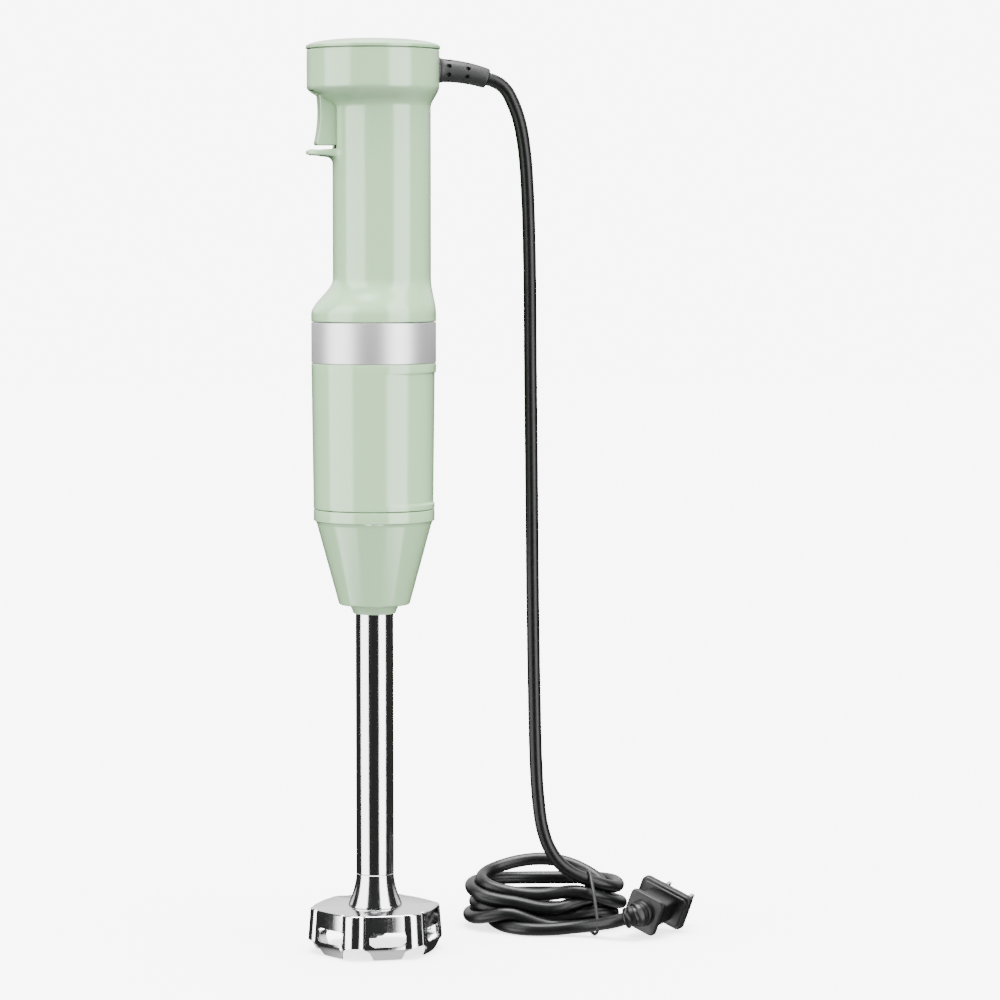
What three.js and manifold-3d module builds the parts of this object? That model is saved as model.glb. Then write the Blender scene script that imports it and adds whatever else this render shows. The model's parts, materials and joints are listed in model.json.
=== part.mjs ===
// Corded immersion blender: a motor body with a trigger, a twist-off blending arm with a bell guard,
// and a coiled mains lead with its plug. Millimetres, +Z up. The origin is on the floor under the
// tube's axis, the trigger faces -Y and the mains lead leaves the back of the head towards +Y.
import * as THREE from "three";
import { mergeVertices } from "three/addons/utils/BufferGeometryUtils.js";
import Module from "manifold-3d";

const wasm = await Module();
wasm.setup();

// ---- Driving dimensions -------------------------------------------------------------------------

const TOUCH = 0.3; // gap between faces that touch
const PIN_PLAY = 0.15; // radial play of a pin or shaft in its bore
const RUN = 0.5; // gap beside a piece that moves

// flats to a full turn: large shells, middling turned pieces and small ones
const LARGE = 36;
const MIDDLE = 24;
const SMALL = 16;

// heights, stacked from the floor
const FOOT_HEIGHT = 5.8; // bell's corner edge above the floor
const BELL_HEIGHT = 20.3; // floor to the bell's top plate
const TUBE_LENGTH = 133.1; // top plate to the cone's neck
const NECK_HEIGHT = 4.1;
const CONE_HEIGHT = 43.1; // neck to the seam where the arm comes off
const SLEEVE_HEIGHT = 65.2; // seam to the trim band
const BAND_HEIGHT = 18.4;
const SHOULDER_WALL = 3.5;
const SHOULDER_HEIGHT = 16;
const GRIP_LENGTH = 76;
const UNDERSIDE_HEIGHT = 9.5;
const HEAD_HEIGHT = 16.1;
const CAP_DOME = 4.6;

// radii and walls
const WALL = 2.4;
const HEAD_R = 29.6;
const CAP_OVERHANG = 0.4;
const CAP_R = HEAD_R + CAP_OVERHANG;
const GRIP_R = 22;
const GRIP_SHIFT = 3.8; // the grip's centre lies this far behind the tube's axis
const SEAM_R = 27.2;
const SLEEVE_TAPER = 0.8; // the sleeve widens by this much from the seam to the band
const BODY_R = SEAM_R + SLEEVE_TAPER;
const BAND_THICKNESS = 0.5;
const RECESS_DEPTH = 0.6; // rear of the sleeve
const CONE_TIP_R = 16;
const TUBE_R = 8.5;
const TUBE_WALL = 1.2;
const NECK_WALL = 2.5;
const NECK_R = TUBE_R + NECK_WALL;
const FLARE_SPREAD = 3.7;
const FLARE_R = TUBE_R + FLARE_SPREAD;
const FLARE_HEIGHT = 14.4;
const BELL_TOP_R = 30; // to the hexagon's corners
const BELL_EDGE_R = 31.2;
const BELL_WALL = 1;
const BELL_CORNER = 5; // corner radius
const WINDOW_WIDTH = 16.8;
const WINDOW_HEIGHT = 6.4;
const TAB_TOP_WIDTH = 15.6;
const TAB_FOOT_WIDTH = 9.5;
const TAB_LEAN = 2.6; // how far a tab's foot lies inside its root

// trigger and finger ledge
const TRIGGER_WIDTH = 11;
const TRIGGER_PROUD = 25.7; // front face, from the tube's axis
const TRIGGER_DROP = 23.8; // height of the trigger that shows below the head
const TRIGGER_DEPTH = 11.7;
const TRIGGER_TURN = 8; // degrees
const PIVOT_Y = -21.5;
const PIVOT_R = 1.2;
const PIVOT_RISE = 3.5; // pivot above the head's lower edge
const LEDGE_REACH = 30.4;
const LEDGE_HALF = 8;

// drive
const SHAFT_R = 2.5;
const MOTOR_R = 20.5;
const MOTOR_LENGTH = 41.7;
const MOTOR_WALL = 1.6;
const MAGNET_THICKNESS = 3.2;
const ARMATURE_R = MOTOR_R - MOTOR_WALL - TOUCH - MAGNET_THICKNESS - RUN;
const COUPLING_R = 9;
const JAW_HEIGHT = 4.5;
const JAW_ANGLE = 30; // degrees of arc
const BLADE_R = 19.5;
const BLADE_Z = 9.6;

// bayonet
const SPIGOT_R = 20.6;
const SPIGOT_HEIGHT = 11;
const LUG_REACH = 1.6;
const LUG_HEIGHT = 3;
const LUG_ANGLE = 24;
const LEDGE_ANGLE = 30;
const TWIST = 40; // degrees from locked to free

// mains lead
const CORD_R = 3;
const RELIEF_R = 5.3;
const RELIEF_END_R = 4.5;
const RELIEF_LENGTH = 22.6;
const RELIEF_BEND = 18; // degrees by which the boot droops at its end
const RELIEF_BELOW_HEAD_TOP = 8.8;

// levels that follow from the stack
const zNeck = BELL_HEIGHT + TUBE_LENGTH;
const zLip = zNeck + NECK_HEIGHT;
const zSeam = zLip + CONE_HEIGHT;
const zBody = zSeam + TOUCH;
const zBand = zBody + SLEEVE_HEIGHT;
const zShell = zBand + BAND_HEIGHT;
const zShoulder = zShell + SHOULDER_WALL;
const zGrip = zShoulder + SHOULDER_HEIGHT;
const zGripTop = zGrip + GRIP_LENGTH;
const zHead = zGripTop + UNDERSIDE_HEIGHT;
const zHeadTop = zHead + HEAD_HEIGHT;
const zRelief = zHeadTop - RELIEF_BELOW_HEAD_TOP;
const zPivot = zHead + PIVOT_RISE;
const zTriggerFoot = zPivot - PIVOT_RISE - 2.5 - TRIGGER_DROP;

// ---- Looks --------------------------------------------------------------------------------------

const LOOKS = {
  green: { color: 0xb9ccb5, roughness: 0.25, metalness: 0 },
  steel: { color: 0xc9cacb, roughness: 0.12, metalness: 1 },
  brushed: { color: 0xb4b6b8, roughness: 0.35, metalness: 1 },
  iron: { color: 0x77797c, roughness: 0.5, metalness: 0.9 },
  copper: { color: 0xb87333, roughness: 0.4, metalness: 0.9 },
  black: { color: 0x1c1c1d, roughness: 0.5, metalness: 0 },
  rubber: { color: 0x202021, roughness: 0.75, metalness: 0 },
  inner: { color: 0xd8d6cf, roughness: 0.5, metalness: 0 },
  board: { color: 0x2f6b45, roughness: 0.5, metalness: 0 },
  brown: { color: 0x6a4028, roughness: 0.5, metalness: 0 },
  blue: { color: 0x2d5aa0, roughness: 0.5, metalness: 0 },
  blade: { color: 0x3a3b3d, roughness: 0.3, metalness: 1 },
};

const blender = new THREE.Group();

function add(name, shape, look, parent = blender) {
  const geometry = shape.isBufferGeometry ? shape : geometryOf(shape);
  const mesh = new THREE.Mesh(geometry, new THREE.MeshStandardMaterial(LOOKS[look]));
  mesh.name = name;
  parent.add(mesh);
  return mesh;
}

// ---- Shape helpers ------------------------------------------------------------------------------

const degrees = THREE.MathUtils.degToRad;
const mix = THREE.MathUtils.lerp;
const ease = (t) => t * t * (3 - 2 * t);

function solidOf(geometry) {
  const bare = new THREE.BufferGeometry().setAttribute("position", geometry.attributes.position);
  if (geometry.index) bare.setIndex(geometry.index);
  const merged = mergeVertices(bare, 1e-4);
  return new wasm.Manifold(
    new wasm.Mesh({
      numProp: 3,
      vertProperties: merged.attributes.position.array,
      triVerts: new Uint32Array(merged.index.array),
    }),
  );
}

function geometryOf(solid) {
  const mesh = solid.getMesh();
  const points = new Float32Array(mesh.numVert * 3);
  for (let i = 0; i < mesh.numVert; i++) {
    for (let k = 0; k < 3; k++) points[3 * i + k] = mesh.vertProperties[i * mesh.numProp + k];
  }
  return new THREE.BufferGeometry()
    .setAttribute("position", new THREE.BufferAttribute(points, 3))
    .setIndex(new THREE.BufferAttribute(mesh.triVerts, 1));
}

// Joins shapes, or cuts the later ones out of the first.
const join = (...shapes) => shapes.map(asSolid).reduce((a, b) => a.add(b));
const cut = (first, ...shapes) => shapes.map(asSolid).reduce((a, b) => a.subtract(b), asSolid(first));
const common = (a, b) => asSolid(a).intersect(asSolid(b));
const asSolid = (shape) => (shape.isBufferGeometry ? solidOf(shape) : shape);

// A profile of [radius, height] pairs turned about Z. Off the axis it closes on itself.
function turned(profile, segments) {
  const make = (pairs) => {
    const points = pairs.map(([r, z]) => new THREE.Vector2(r, z));
    return new THREE.LatheGeometry(points, segments).rotateX(Math.PI / 2);
  };
  const onAxis = profile[0][0] === 0;
  const closed = onAxis ? profile : [...profile, profile[0]];
  const shape = make(closed);
  return volumeOf(shape) > 0 ? shape : make([...closed].reverse());
}

function volumeOf(geometry) {
  const [p, index] = [geometry.attributes.position, geometry.index];
  const [a, b, c] = [new THREE.Vector3(), new THREE.Vector3(), new THREE.Vector3()];
  let sum = 0;
  for (let i = 0; i < index.count; i += 3) {
    a.fromBufferAttribute(p, index.getX(i));
    b.fromBufferAttribute(p, index.getX(i + 1));
    c.fromBufferAttribute(p, index.getX(i + 2));
    sum += a.dot(b.cross(c)) / 6;
  }
  return sum;
}

const ring = (outer, inner, low, high, segments = MIDDLE) =>
  turned([[outer, low], [outer, high], [inner, high], [inner, low]], segments);

const disc = (radius, low, high, segments = MIDDLE) =>
  turned([[0, low], [radius, low], [radius, high], [0, high]], segments);

// A hexagonal nut with a round bore.
const nut = (acrossCorners, bore, low, high) =>
  cut(disc(acrossCorners, low, high, 6), disc(bore, low - 1, high + 1));

// Moves every vertex by a function of its place.
function moved(geometry, where) {
  const p = geometry.attributes.position;
  const v = new THREE.Vector3();
  for (let i = 0; i < p.count; i++) {
    v.fromBufferAttribute(p, i);
    where(v);
    p.setXYZ(i, v.x, v.y, v.z);
  }
  return geometry;
}

function box([x0, y0, z0], [x1, y1, z1]) {
  return new THREE.BoxGeometry(x1 - x0, y1 - y0, z1 - z0).translate(
    (x0 + x1) / 2,
    (y0 + y1) / 2,
    (z0 + z1) / 2,
  );
}

// A round bar between two points.
function bar(from, to, radius, segments = 12, endRadius = radius) {
  const [a, b] = [new THREE.Vector3(...from), new THREE.Vector3(...to)];
  const way = b.clone().sub(a);
  const turn = new THREE.Quaternion().setFromUnitVectors(
    new THREE.Vector3(0, 1, 0),
    way.clone().normalize(),
  );
  return new THREE.CylinderGeometry(endRadius, radius, way.length(), segments)
    .applyQuaternion(turn)
    .translate(...a.add(b).multiplyScalar(0.5).toArray());
}

// A flat outline in X and Z, given a thickness along Y from y0 to y1.
function plateXZ(shape, y0, y1) {
  return new THREE.ExtrudeGeometry(shape, { depth: y1 - y0, bevelEnabled: false, curveSegments: 3 })
    .rotateX(Math.PI / 2)
    .translate(0, y1, 0);
}

// A flat outline in Y and Z, given a thickness along X that is centred on x = 0.
function plateYZ(shape, width) {
  return new THREE.ExtrudeGeometry(shape, { depth: width, bevelEnabled: false, curveSegments: 6 })
    .translate(0, 0, -width / 2)
    .applyMatrix4(new THREE.Matrix4().set(0, 0, 1, 0, 1, 0, 0, 0, 0, 1, 0, 0, 0, 0, 0, 1));
}

// An arc-shaped block between two radii, centred on an angle about Z.
function arcBlock(inner, outer, low, high, middle, width, curveSegments = 6) {
  const [a, b] = [degrees(middle - width / 2), degrees(middle + width / 2)];
  const shape = new THREE.Shape();
  shape.absarc(0, 0, outer, a, b, false);
  shape.absarc(0, 0, inner, b, a, true);
  shape.closePath();
  return new THREE.ExtrudeGeometry(shape, { depth: high - low, bevelEnabled: false, curveSegments })
    .translate(0, 0, low);
}

// A round tube along a smooth curve through points.
function tube(points, radius, sides, steps) {
  const through = points.map((p) => new THREE.Vector3(...p));
  const route = new THREE.CatmullRomCurve3(through, false, "centripetal");
  const section = new THREE.Shape();
  for (let i = 0; i < sides; i++) {
    const angle = (2 * Math.PI * i) / sides;
    const place = [radius * Math.cos(angle), radius * Math.sin(angle)];
    if (i === 0) section.moveTo(...place);
    else section.lineTo(...place);
  }
  section.closePath();
  return new THREE.ExtrudeGeometry(section, { steps, bevelEnabled: false, extrudePath: route });
}

// ---- Motor body's shells ------------------------------------------------------------------------

// How far the shell's section lies behind the tube's axis at a height.
function shellShift(z) {
  if (z <= zShoulder || z >= zHead) return 0;
  if (z < zGrip) return GRIP_SHIFT * ease((z - zShoulder) / SHOULDER_HEIGHT);
  if (z <= zGripTop) return GRIP_SHIFT;
  return GRIP_SHIFT * (1 - ease((z - zGripTop) / UNDERSIDE_HEIGHT));
}

function shellRadius(z) {
  if (z <= zShoulder) return BODY_R;
  if (z < zGrip) return mix(BODY_R, GRIP_R, ease((z - zShoulder) / SHOULDER_HEIGHT));
  if (z <= zGripTop) return GRIP_R;
  if (z < zHead) return mix(GRIP_R, HEAD_R, ease((z - zGripTop) / UNDERSIDE_HEIGHT));
  return HEAD_R;
}

const levels = (low, high, count) =>
  Array.from({ length: count + 1 }, (_, i) => mix(low, high, i / count));

const SLEEVE_BORE = SEAM_R - WALL;
const SHELL_SPIGOT = 7.5; // how far the upper shell reaches down into the sleeve

function upperShell() {
  const heights = [
    zShell + TOUCH,
    ...levels(zShoulder, zGrip, 5),
    ...levels(zGripTop, zHead, 4),
    zHeadTop,
  ];
  const outside = heights.map((z) => [shellRadius(z), z]);
  const inside = heights
    .slice(1)
    .reverse()
    .map((z) => [shellRadius(z) - WALL, z]);
  const spigotR = SLEEVE_BORE - TOUCH;
  const skin = turned(
    [
      ...outside,
      ...inside,
      [spigotR - WALL, zShell + TOUCH + 1],
      [spigotR - WALL, zShell - SHELL_SPIGOT],
      [spigotR, zShell - SHELL_SPIGOT],
      [spigotR, zShell + TOUCH],
    ],
    LARGE,
  );
  moved(skin, (v) => {
    v.y += shellShift(v.z);
  });
  const slotHalf = TRIGGER_WIDTH / 2 + RUN;
  const slot = box(
    [-slotHalf, -TRIGGER_PROUD - 0.9, zTriggerFoot - RUN],
    [slotHalf, -5, zHead + WALL],
  );
  const leadHole = bar([0, HEAD_R - 6, zRelief], [0, HEAD_R + 2, zRelief], RELIEF_R + TOUCH, SMALL);
  return cut(join(skin, fingerLedge()), slot, leadHole, ...shellScrews(TOUCH));
}

// A thin tongue that keeps the finger off the grip, just below the trigger.
function fingerLedge() {
  const root = GRIP_R - GRIP_SHIFT - 1.5;
  const reach = LEDGE_REACH - root;
  const plan = new THREE.Shape();
  plan.moveTo(-LEDGE_HALF, -root);
  plan.lineTo(-LEDGE_HALF + 1, -root - reach * 0.45);
  plan.quadraticCurveTo(-LEDGE_HALF + 2, -LEDGE_REACH, 0, -LEDGE_REACH);
  plan.quadraticCurveTo(LEDGE_HALF - 2, -LEDGE_REACH, LEDGE_HALF - 1, -root - reach * 0.45);
  plan.lineTo(LEDGE_HALF, -root);
  plan.closePath();
  const top = zTriggerFoot - RUN;
  const tongue = new THREE.ExtrudeGeometry(plan, { depth: 8, bevelEnabled: false, curveSegments: 6 })
    .translate(0, 0, top - 8);
  const side = new THREE.Shape();
  side.moveTo(-LEDGE_REACH - 1, top - 3.8);
  side.lineTo(-LEDGE_REACH - 1, top - 1.8);
  side.lineTo(-root - 4, top - 0.6);
  side.lineTo(-root + 1, top - 0.2);
  side.lineTo(-root + 1, top - 8);
  side.quadraticCurveTo(-root - 2, top - 5.2, -root - 5, top - 4.6);
  side.closePath();
  return common(tongue, plateYZ(side, 3 * LEDGE_HALF));
}

// Two screws join the sleeve to the upper shell's spigot, under the trim band.
function shellScrews(gap = 0) {
  const z = zShell - SHELL_SPIGOT / 2;
  return [-1, 1].map((side) =>
    bar(
      [side * (SLEEVE_BORE - TOUCH - WALL + 0.2 - gap), 0, z],
      [side * (SEAM_R - 0.4 + 2 * gap), 0, z],
      1.4 + gap,
      10,
    ),
  );
}

function motorSleeve() {
  const groove = BODY_R - BAND_THICKNESS - TOUCH;
  const [low, high] = [zBody + 2.3, zBand - 3.8];
  const at = (z) => mix(SEAM_R, BODY_R, (z - zBody) / SLEEVE_HEIGHT);
  const skin = turned(
    [
      [SLEEVE_BORE, zBody],
      [SEAM_R, zBody],
      [at(low), low],
      [at(low + 0.2), low + 0.2],
      [at(high - 0.2), high - 0.2],
      [at(high), high],
      [BODY_R, zBand],
      [groove, zBand],
      [groove, zShell],
      [SLEEVE_BORE, zShell],
    ],
    LARGE,
  );
  moved(skin, (v) => {
    const radius = Math.hypot(v.x, v.y);
    if (v.z > low + 0.1 && v.z < high - 0.1 && radius > SLEEVE_BORE + 0.1 && v.y > 0) {
      const less = 1 - (RECESS_DEPTH * v.y) / radius / radius;
      v.x *= less;
      v.y *= less;
    }
  });
  return cut(skin, ...shellScrews(TOUCH));
}

function topCap() {
  const low = zHeadTop + TOUCH;
  const skirt = HEAD_R - WALL - TOUCH;
  const dome = levels(0, 1, 4).map((t) => [
    (CAP_R - 0.7) * Math.sin((t * Math.PI) / 2),
    low + 1.1 + (CAP_DOME - 1.1) * Math.cos((t * Math.PI) / 2),
  ]);
  return turned(
    [
      ...dome,
      [CAP_R, low + 0.8],
      [CAP_R, low],
      [skirt, low],
      [skirt, low - 2.2],
      [skirt - 2, low - 2.2],
      [skirt - 2, low + 0.6],
      [0, low + 0.6],
    ],
    LARGE,
  );
}

add("top_cap", topCap(), "green");
add("upper_shell", upperShell(), "green");
add("motor_sleeve", motorSleeve(), "green");
add("trim_band", ring(BODY_R, BODY_R - BAND_THICKNESS, zBand + TOUCH, zShell, LARGE), "brushed");
shellScrews().forEach((screw, i) => add(`shell_screw_${i + 1}`, screw, "iron"));

// ---- Trigger, its pivot and the switch ----------------------------------------------------------

const PLUNGER_DROP = 21.5; // pivot down to the plunger's axis
const zPlunger = zPivot - PLUNGER_DROP;
const triggerBack = -TRIGGER_PROUD + TRIGGER_DEPTH;
const SWITCH_GAP = 5.4; // trigger's back to the switch's front
const SWITCH_FRONT = triggerBack + SWITCH_GAP;
const SWITCH_SIZE = { half: 6, depth: 13, height: 24 };
const PLUNGER_R = 1.8;
const PLUNGER_TRAVEL = 3.2;

function trigger() {
  const top = zPivot - PIVOT_RISE + 0.8;
  const front = -TRIGGER_PROUD;
  const foot = zTriggerFoot;
  const side = new THREE.Shape();
  side.moveTo(triggerBack, foot);
  side.lineTo(front + 0.6, foot);
  side.quadraticCurveTo(front - 0.6, foot, front - 0.5, foot + 1.4);
  side.quadraticCurveTo(front + 2.4, mix(foot, top, 0.5), front, top);
  side.lineTo(PIVOT_Y - 3.2, zPivot - 0.5);
  side.absarc(PIVOT_Y, zPivot, 3.2, Math.PI, 0, true);
  side.lineTo(PIVOT_Y + 3.2, top);
  side.lineTo(triggerBack, top);
  side.closePath();
  const bore = bar([-20, PIVOT_Y, zPivot], [20, PIVOT_Y, zPivot], PIVOT_R + PIN_PLAY, 16);
  const springRoom = box([-2.6, PIVOT_Y - 5, zPivot - 3.4], [2.6, PIVOT_Y + 5, zPivot + 4]);
  return cut(plateYZ(side, TRIGGER_WIDTH), bore, springRoom);
}

const earGap = TRIGGER_WIDTH / 2 + RUN;
const EAR = 1.8;
const SPINE_BACK = 6.4;
const SPINE_THICKNESS = 2;
const EYE_HALF = 3.4; // half height of the ears round the trigger's pin

// A moulded frame in the head and grip: it holds the trigger's pin, the switch and the board.
function innerChassis() {
  const front = SPINE_BACK - SPINE_THICKNESS;
  const [low, high] = [zPivot - EYE_HALF, zPivot + EYE_HALF];
  const spine = box([-7, front, zGrip + 2], [7, SPINE_BACK, zPivot + 4]);
  const ears = [-1, 1].map((side) => {
    const [a, b] = [side * earGap, side * (earGap + EAR)].sort((p, q) => p - q);
    return box([a, PIVOT_Y - 3, low], [b, SPINE_BACK - 1, high]);
  });
  const bridge = box([-earGap - EAR, front, low], [earGap + EAR, SPINE_BACK, high]);
  const bore = bar([-20, PIVOT_Y, zPivot], [20, PIVOT_Y, zPivot], PIVOT_R + PIN_PLAY, 16);
  return cut(join(spine, bridge, ...ears), bore);
}

function switchModule() {
  const { half, depth, height } = SWITCH_SIZE;
  const body = box(
    [-half, SWITCH_FRONT, zPlunger - height / 2],
    [half, SWITCH_FRONT + depth - 1.1, zPlunger + height / 2],
  );
  const bore = bar(
    [0, SWITCH_FRONT - 1, zPlunger],
    [0, SWITCH_FRONT + 3 + PLUNGER_TRAVEL + 0.6, zPlunger],
    PLUNGER_R + TOUCH,
    16,
  );
  return cut(body, bore);
}

// A torsion spring wound round the pin: four turns and two straight legs.
function triggerSpring() {
  const [coilR, wireR, turns] = [2.1, 0.35, 3];
  const points = levels(0, 1, turns * 10).map((t) => {
    const angle = 2 * Math.PI * turns * t;
    return [mix(-1.6, 1.6, t), PIVOT_Y + coilR * Math.sin(angle), zPivot + coilR * Math.cos(angle)];
  });
  const leg = [points.at(-1)[0] + 0.2, PIVOT_Y + 6.5, zPivot + coilR + 0.4];
  return tube([...points, leg], wireR, 5, turns * 12 + 4);
}

add("trigger", trigger(), "green");
const pinHalf = earGap + EAR + 0.8;
add("trigger_pin", bar([-pinHalf, PIVOT_Y, zPivot], [pinHalf, PIVOT_Y, zPivot], PIVOT_R, 16), "steel");
add("trigger_spring", triggerSpring(), "iron");
add("inner_chassis", innerChassis(), "inner");
add("switch_module", switchModule(), "black");
add(
  "switch_plunger",
  bar([0, triggerBack + TOUCH, zPlunger], [0, SWITCH_FRONT + 3, zPlunger], PLUNGER_R, 16),
  "inner",
);

const BOARD_Y = 8.4;
add("circuit_board", box([-13, BOARD_Y, zGrip + 6], [13, BOARD_Y + 1.6, zGrip + 58]), "board");
add(
  "suppression_capacitor",
  box([-8, BOARD_Y + 1.9, zGrip + 34], [8, BOARD_Y + 8.5, zGrip + 48]),
  "blue",
);
add(
  "heat_sink",
  join(
    box([-10, BOARD_Y + 1.9, zGrip + 10], [10, BOARD_Y + 3.4, zGrip + 28]),
    ...[-9, -3, 3, 8].map((x) =>
      box([x, BOARD_Y + 3, zGrip + 10], [x + 1, BOARD_Y + 8, zGrip + 28]),
    ),
  ),
  "iron",
);

// ---- Motor --------------------------------------------------------------------------------------

const zSocketTop = zBody + 15;
const zMount = zSocketTop + TOUCH;
const MOUNT_THICKNESS = 2.6;
const zMotor = zMount + MOUNT_THICKNESS + 3.2;
const zMotorTop = zMotor + MOTOR_LENGTH;
const BEARING_R = 6.5;
const BEARING_WIDTH = 5;
const MOUNT_SCREW_AT = 12;

function motorScrew(side, gap = 0) {
  const x = side * MOUNT_SCREW_AT;
  return join(
    bar([x, 0, zMount - 1.5 - TOUCH - gap], [x, 0, zMount - TOUCH + gap], 2.4 + gap, 10),
    bar([x, 0, zMount - 0.5 - TOUCH], [x, 0, zMotor + MOTOR_WALL + gap], 1.3 + gap, 10),
  );
}

function motorCan() {
  const inner = MOTOR_R - MOTOR_WALL;
  return cut(
    turned(
      [
        [BEARING_R + TOUCH, zMotor],
        [MOTOR_R, zMotor],
        [MOTOR_R, zMotorTop],
        [inner, zMotorTop],
        [inner, zMotor + MOTOR_WALL],
        [BEARING_R + TOUCH, zMotor + MOTOR_WALL],
      ],
      MIDDLE,
    ),
    motorScrew(-1, TOUCH),
    motorScrew(1, TOUCH),
  );
}

const COMMUTATOR_R = 5.5;
const zCommutator = zMotorTop + 1;
const COMMUTATOR_LENGTH = 9;
const TOWER_R = 12;
const zTower = zCommutator + COMMUTATOR_LENGTH + 1.4;
const BRUSH = 5;

// The plastic end of the motor, with a tower round the commutator that holds brushes and bearing.
function motorEndCap() {
  const hat = turned(
    [
      [MOTOR_R, zMotorTop + TOUCH],
      [MOTOR_R, zMotorTop + TOUCH + 2.4],
      [TOWER_R, zMotorTop + TOUCH + 2.4],
      [TOWER_R, zTower + 2 + BEARING_WIDTH],
      [BEARING_R + TOUCH, zTower + 2 + BEARING_WIDTH],
      [BEARING_R + TOUCH, zTower + 2 - TOUCH],
      [SHAFT_R + RUN, zTower + 2 - TOUCH],
      [SHAFT_R + RUN, zTower],
      [TOWER_R - 2, zTower],
      [TOWER_R - 2, zMotorTop + TOUCH],
    ],
    MIDDLE,
  );
  const half = BRUSH / 2 + TOUCH;
  const z = zCommutator + COMMUTATOR_LENGTH / 2;
  return cut(hat, box([-TOWER_R - 1, -half, z - half], [TOWER_R + 1, half, z + half]));
}

function motorMount() {
  const plate = ring(SLEEVE_BORE - TOUCH, BEARING_R + RUN, zMount, zMount + MOUNT_THICKNESS, LARGE);
  return cut(plate, motorScrew(-1, TOUCH), motorScrew(1, TOUCH));
}

add("motor_mount", motorMount(), "inner");
add("motor_can", motorCan(), "iron");
add("motor_end_cap", motorEndCap(), "black");
const MAGNET_ANGLE = 140;
for (const [name, side] of [["left", 180], ["right", 0]]) {
  const [inner, outer] = [ARMATURE_R + RUN, MOTOR_R - MOTOR_WALL - TOUCH];
  const magnet = arcBlock(inner, outer, zMotor + 6, zMotorTop - 6, side, MAGNET_ANGLE, 12);
  add(`magnet_${name}`, magnet, "iron");
}
for (const [name, side] of [["left", -1], ["right", 1]]) {
  const z = zCommutator + COMMUTATOR_LENGTH / 2;
  const half = BRUSH / 2;
  const ends = [side * (COMMUTATOR_R + TOUCH), side * (TOWER_R + 0.6)].sort((p, q) => p - q);
  add(`brush_${name}`, box([ends[0], -half, z - half], [ends[1], half, z + half]), "black");
}
const bearing = (low) => ring(BEARING_R, SHAFT_R + PIN_PLAY, low, low + BEARING_WIDTH, SMALL);
add("lower_motor_bearing", bearing(zMotor + MOTOR_WALL - BEARING_WIDTH), "steel");
add("upper_motor_bearing", bearing(zTower + 2), "steel");
for (const [name, low] of [["lower", zMotor + 3], ["upper", zMotorTop - 9]]) {
  add(`damper_${name}`, ring(SLEEVE_BORE - TOUCH, MOTOR_R + TOUCH, low, low + 6, LARGE), "rubber");
}
add("motor_screw_1", motorScrew(-1), "iron");
add("motor_screw_2", motorScrew(1), "iron");

// The turning parts: shaft, armature, commutator, fan and the driving half of the coupling.
const DRIVER_RISE = 10.4; // seam up to the driving coupling
const zDriver = zSeam + DRIVER_RISE;
const DRIVER_THICKNESS = 4;
const zFan = zTower + 2 + BEARING_WIDTH + 1.2;
const FAN_R = 18.5;
const FAN_HEIGHT = 7;
const onShaft = SHAFT_R + PIN_PLAY;

add("motor_shaft", disc(SHAFT_R, zDriver + 0.8, zFan + FAN_HEIGHT + 2, SMALL), "steel");

function armatureCore() {
  const core = ring(ARMATURE_R, onShaft, zMotor + 8.5, zMotorTop - 8.5, MIDDLE);
  const slots = levels(0, 5 / 6, 5).map((t) =>
    box([ARMATURE_R - 5, -0.9, zMotor], [ARMATURE_R + 2, 0.9, zMotorTop]).rotateZ(2 * Math.PI * t),
  );
  return cut(core, ...slots);
}

function winding(low, high) {
  return turned(
    [
      [4, low],
      [ARMATURE_R - 4, low],
      [ARMATURE_R - 1.4, mix(low, high, 0.5)],
      [ARMATURE_R - 4, high],
      [4, high],
    ],
    SMALL,
  );
}

function coolingFan() {
  const plate = ring(FAN_R, onShaft, zFan, zFan + 1.2, MIDDLE);
  const hub = ring(5, onShaft, zFan, zFan + FAN_HEIGHT, SMALL);
  const vanes = levels(0, 8 / 9, 8).map((t) =>
    box([4.4, -0.6, zFan + 0.5], [FAN_R - 0.5, 0.6, zFan + FAN_HEIGHT]).rotateZ(2 * Math.PI * t),
  );
  return join(plate, hub, ...vanes);
}

add("armature_core", armatureCore(), "iron");
add("winding_lower", winding(zMotor + MOTOR_WALL + 0.9, zMotor + 8.5 - TOUCH), "copper");
add("winding_upper", winding(zMotorTop - 8.5 + TOUCH, zMotorTop - 0.8), "copper");
add(
  "commutator",
  ring(COMMUTATOR_R, onShaft, zCommutator, zCommutator + COMMUTATOR_LENGTH, SMALL),
  "copper",
);
add("cooling_fan", coolingFan(), "black");

// Two jaws on each half of the coupling leave play for the bayonet's twist.
function jaws(low, high, first) {
  const inner = COUPLING_R - 4.5;
  return [first, first + 180].map((at) => arcBlock(inner, COUPLING_R, low, high, at, JAW_ANGLE, 4));
}

const zDriven = zDriver - JAW_HEIGHT - TOUCH;
const driverPlate = ring(COUPLING_R, onShaft, zDriver, zDriver + DRIVER_THICKNESS);
add("drive_coupling", join(driverPlate, ...jaws(zDriver - JAW_HEIGHT, zDriver + 0.5, 0)), "black");

// ---- Bayonet between body and arm ---------------------------------------------------------------

const BAYONET_COUNT = 3;
const socketBore = SPIGOT_R + LUG_REACH + TOUCH;
const zLedgeTop = zBody + 5.3;

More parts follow.
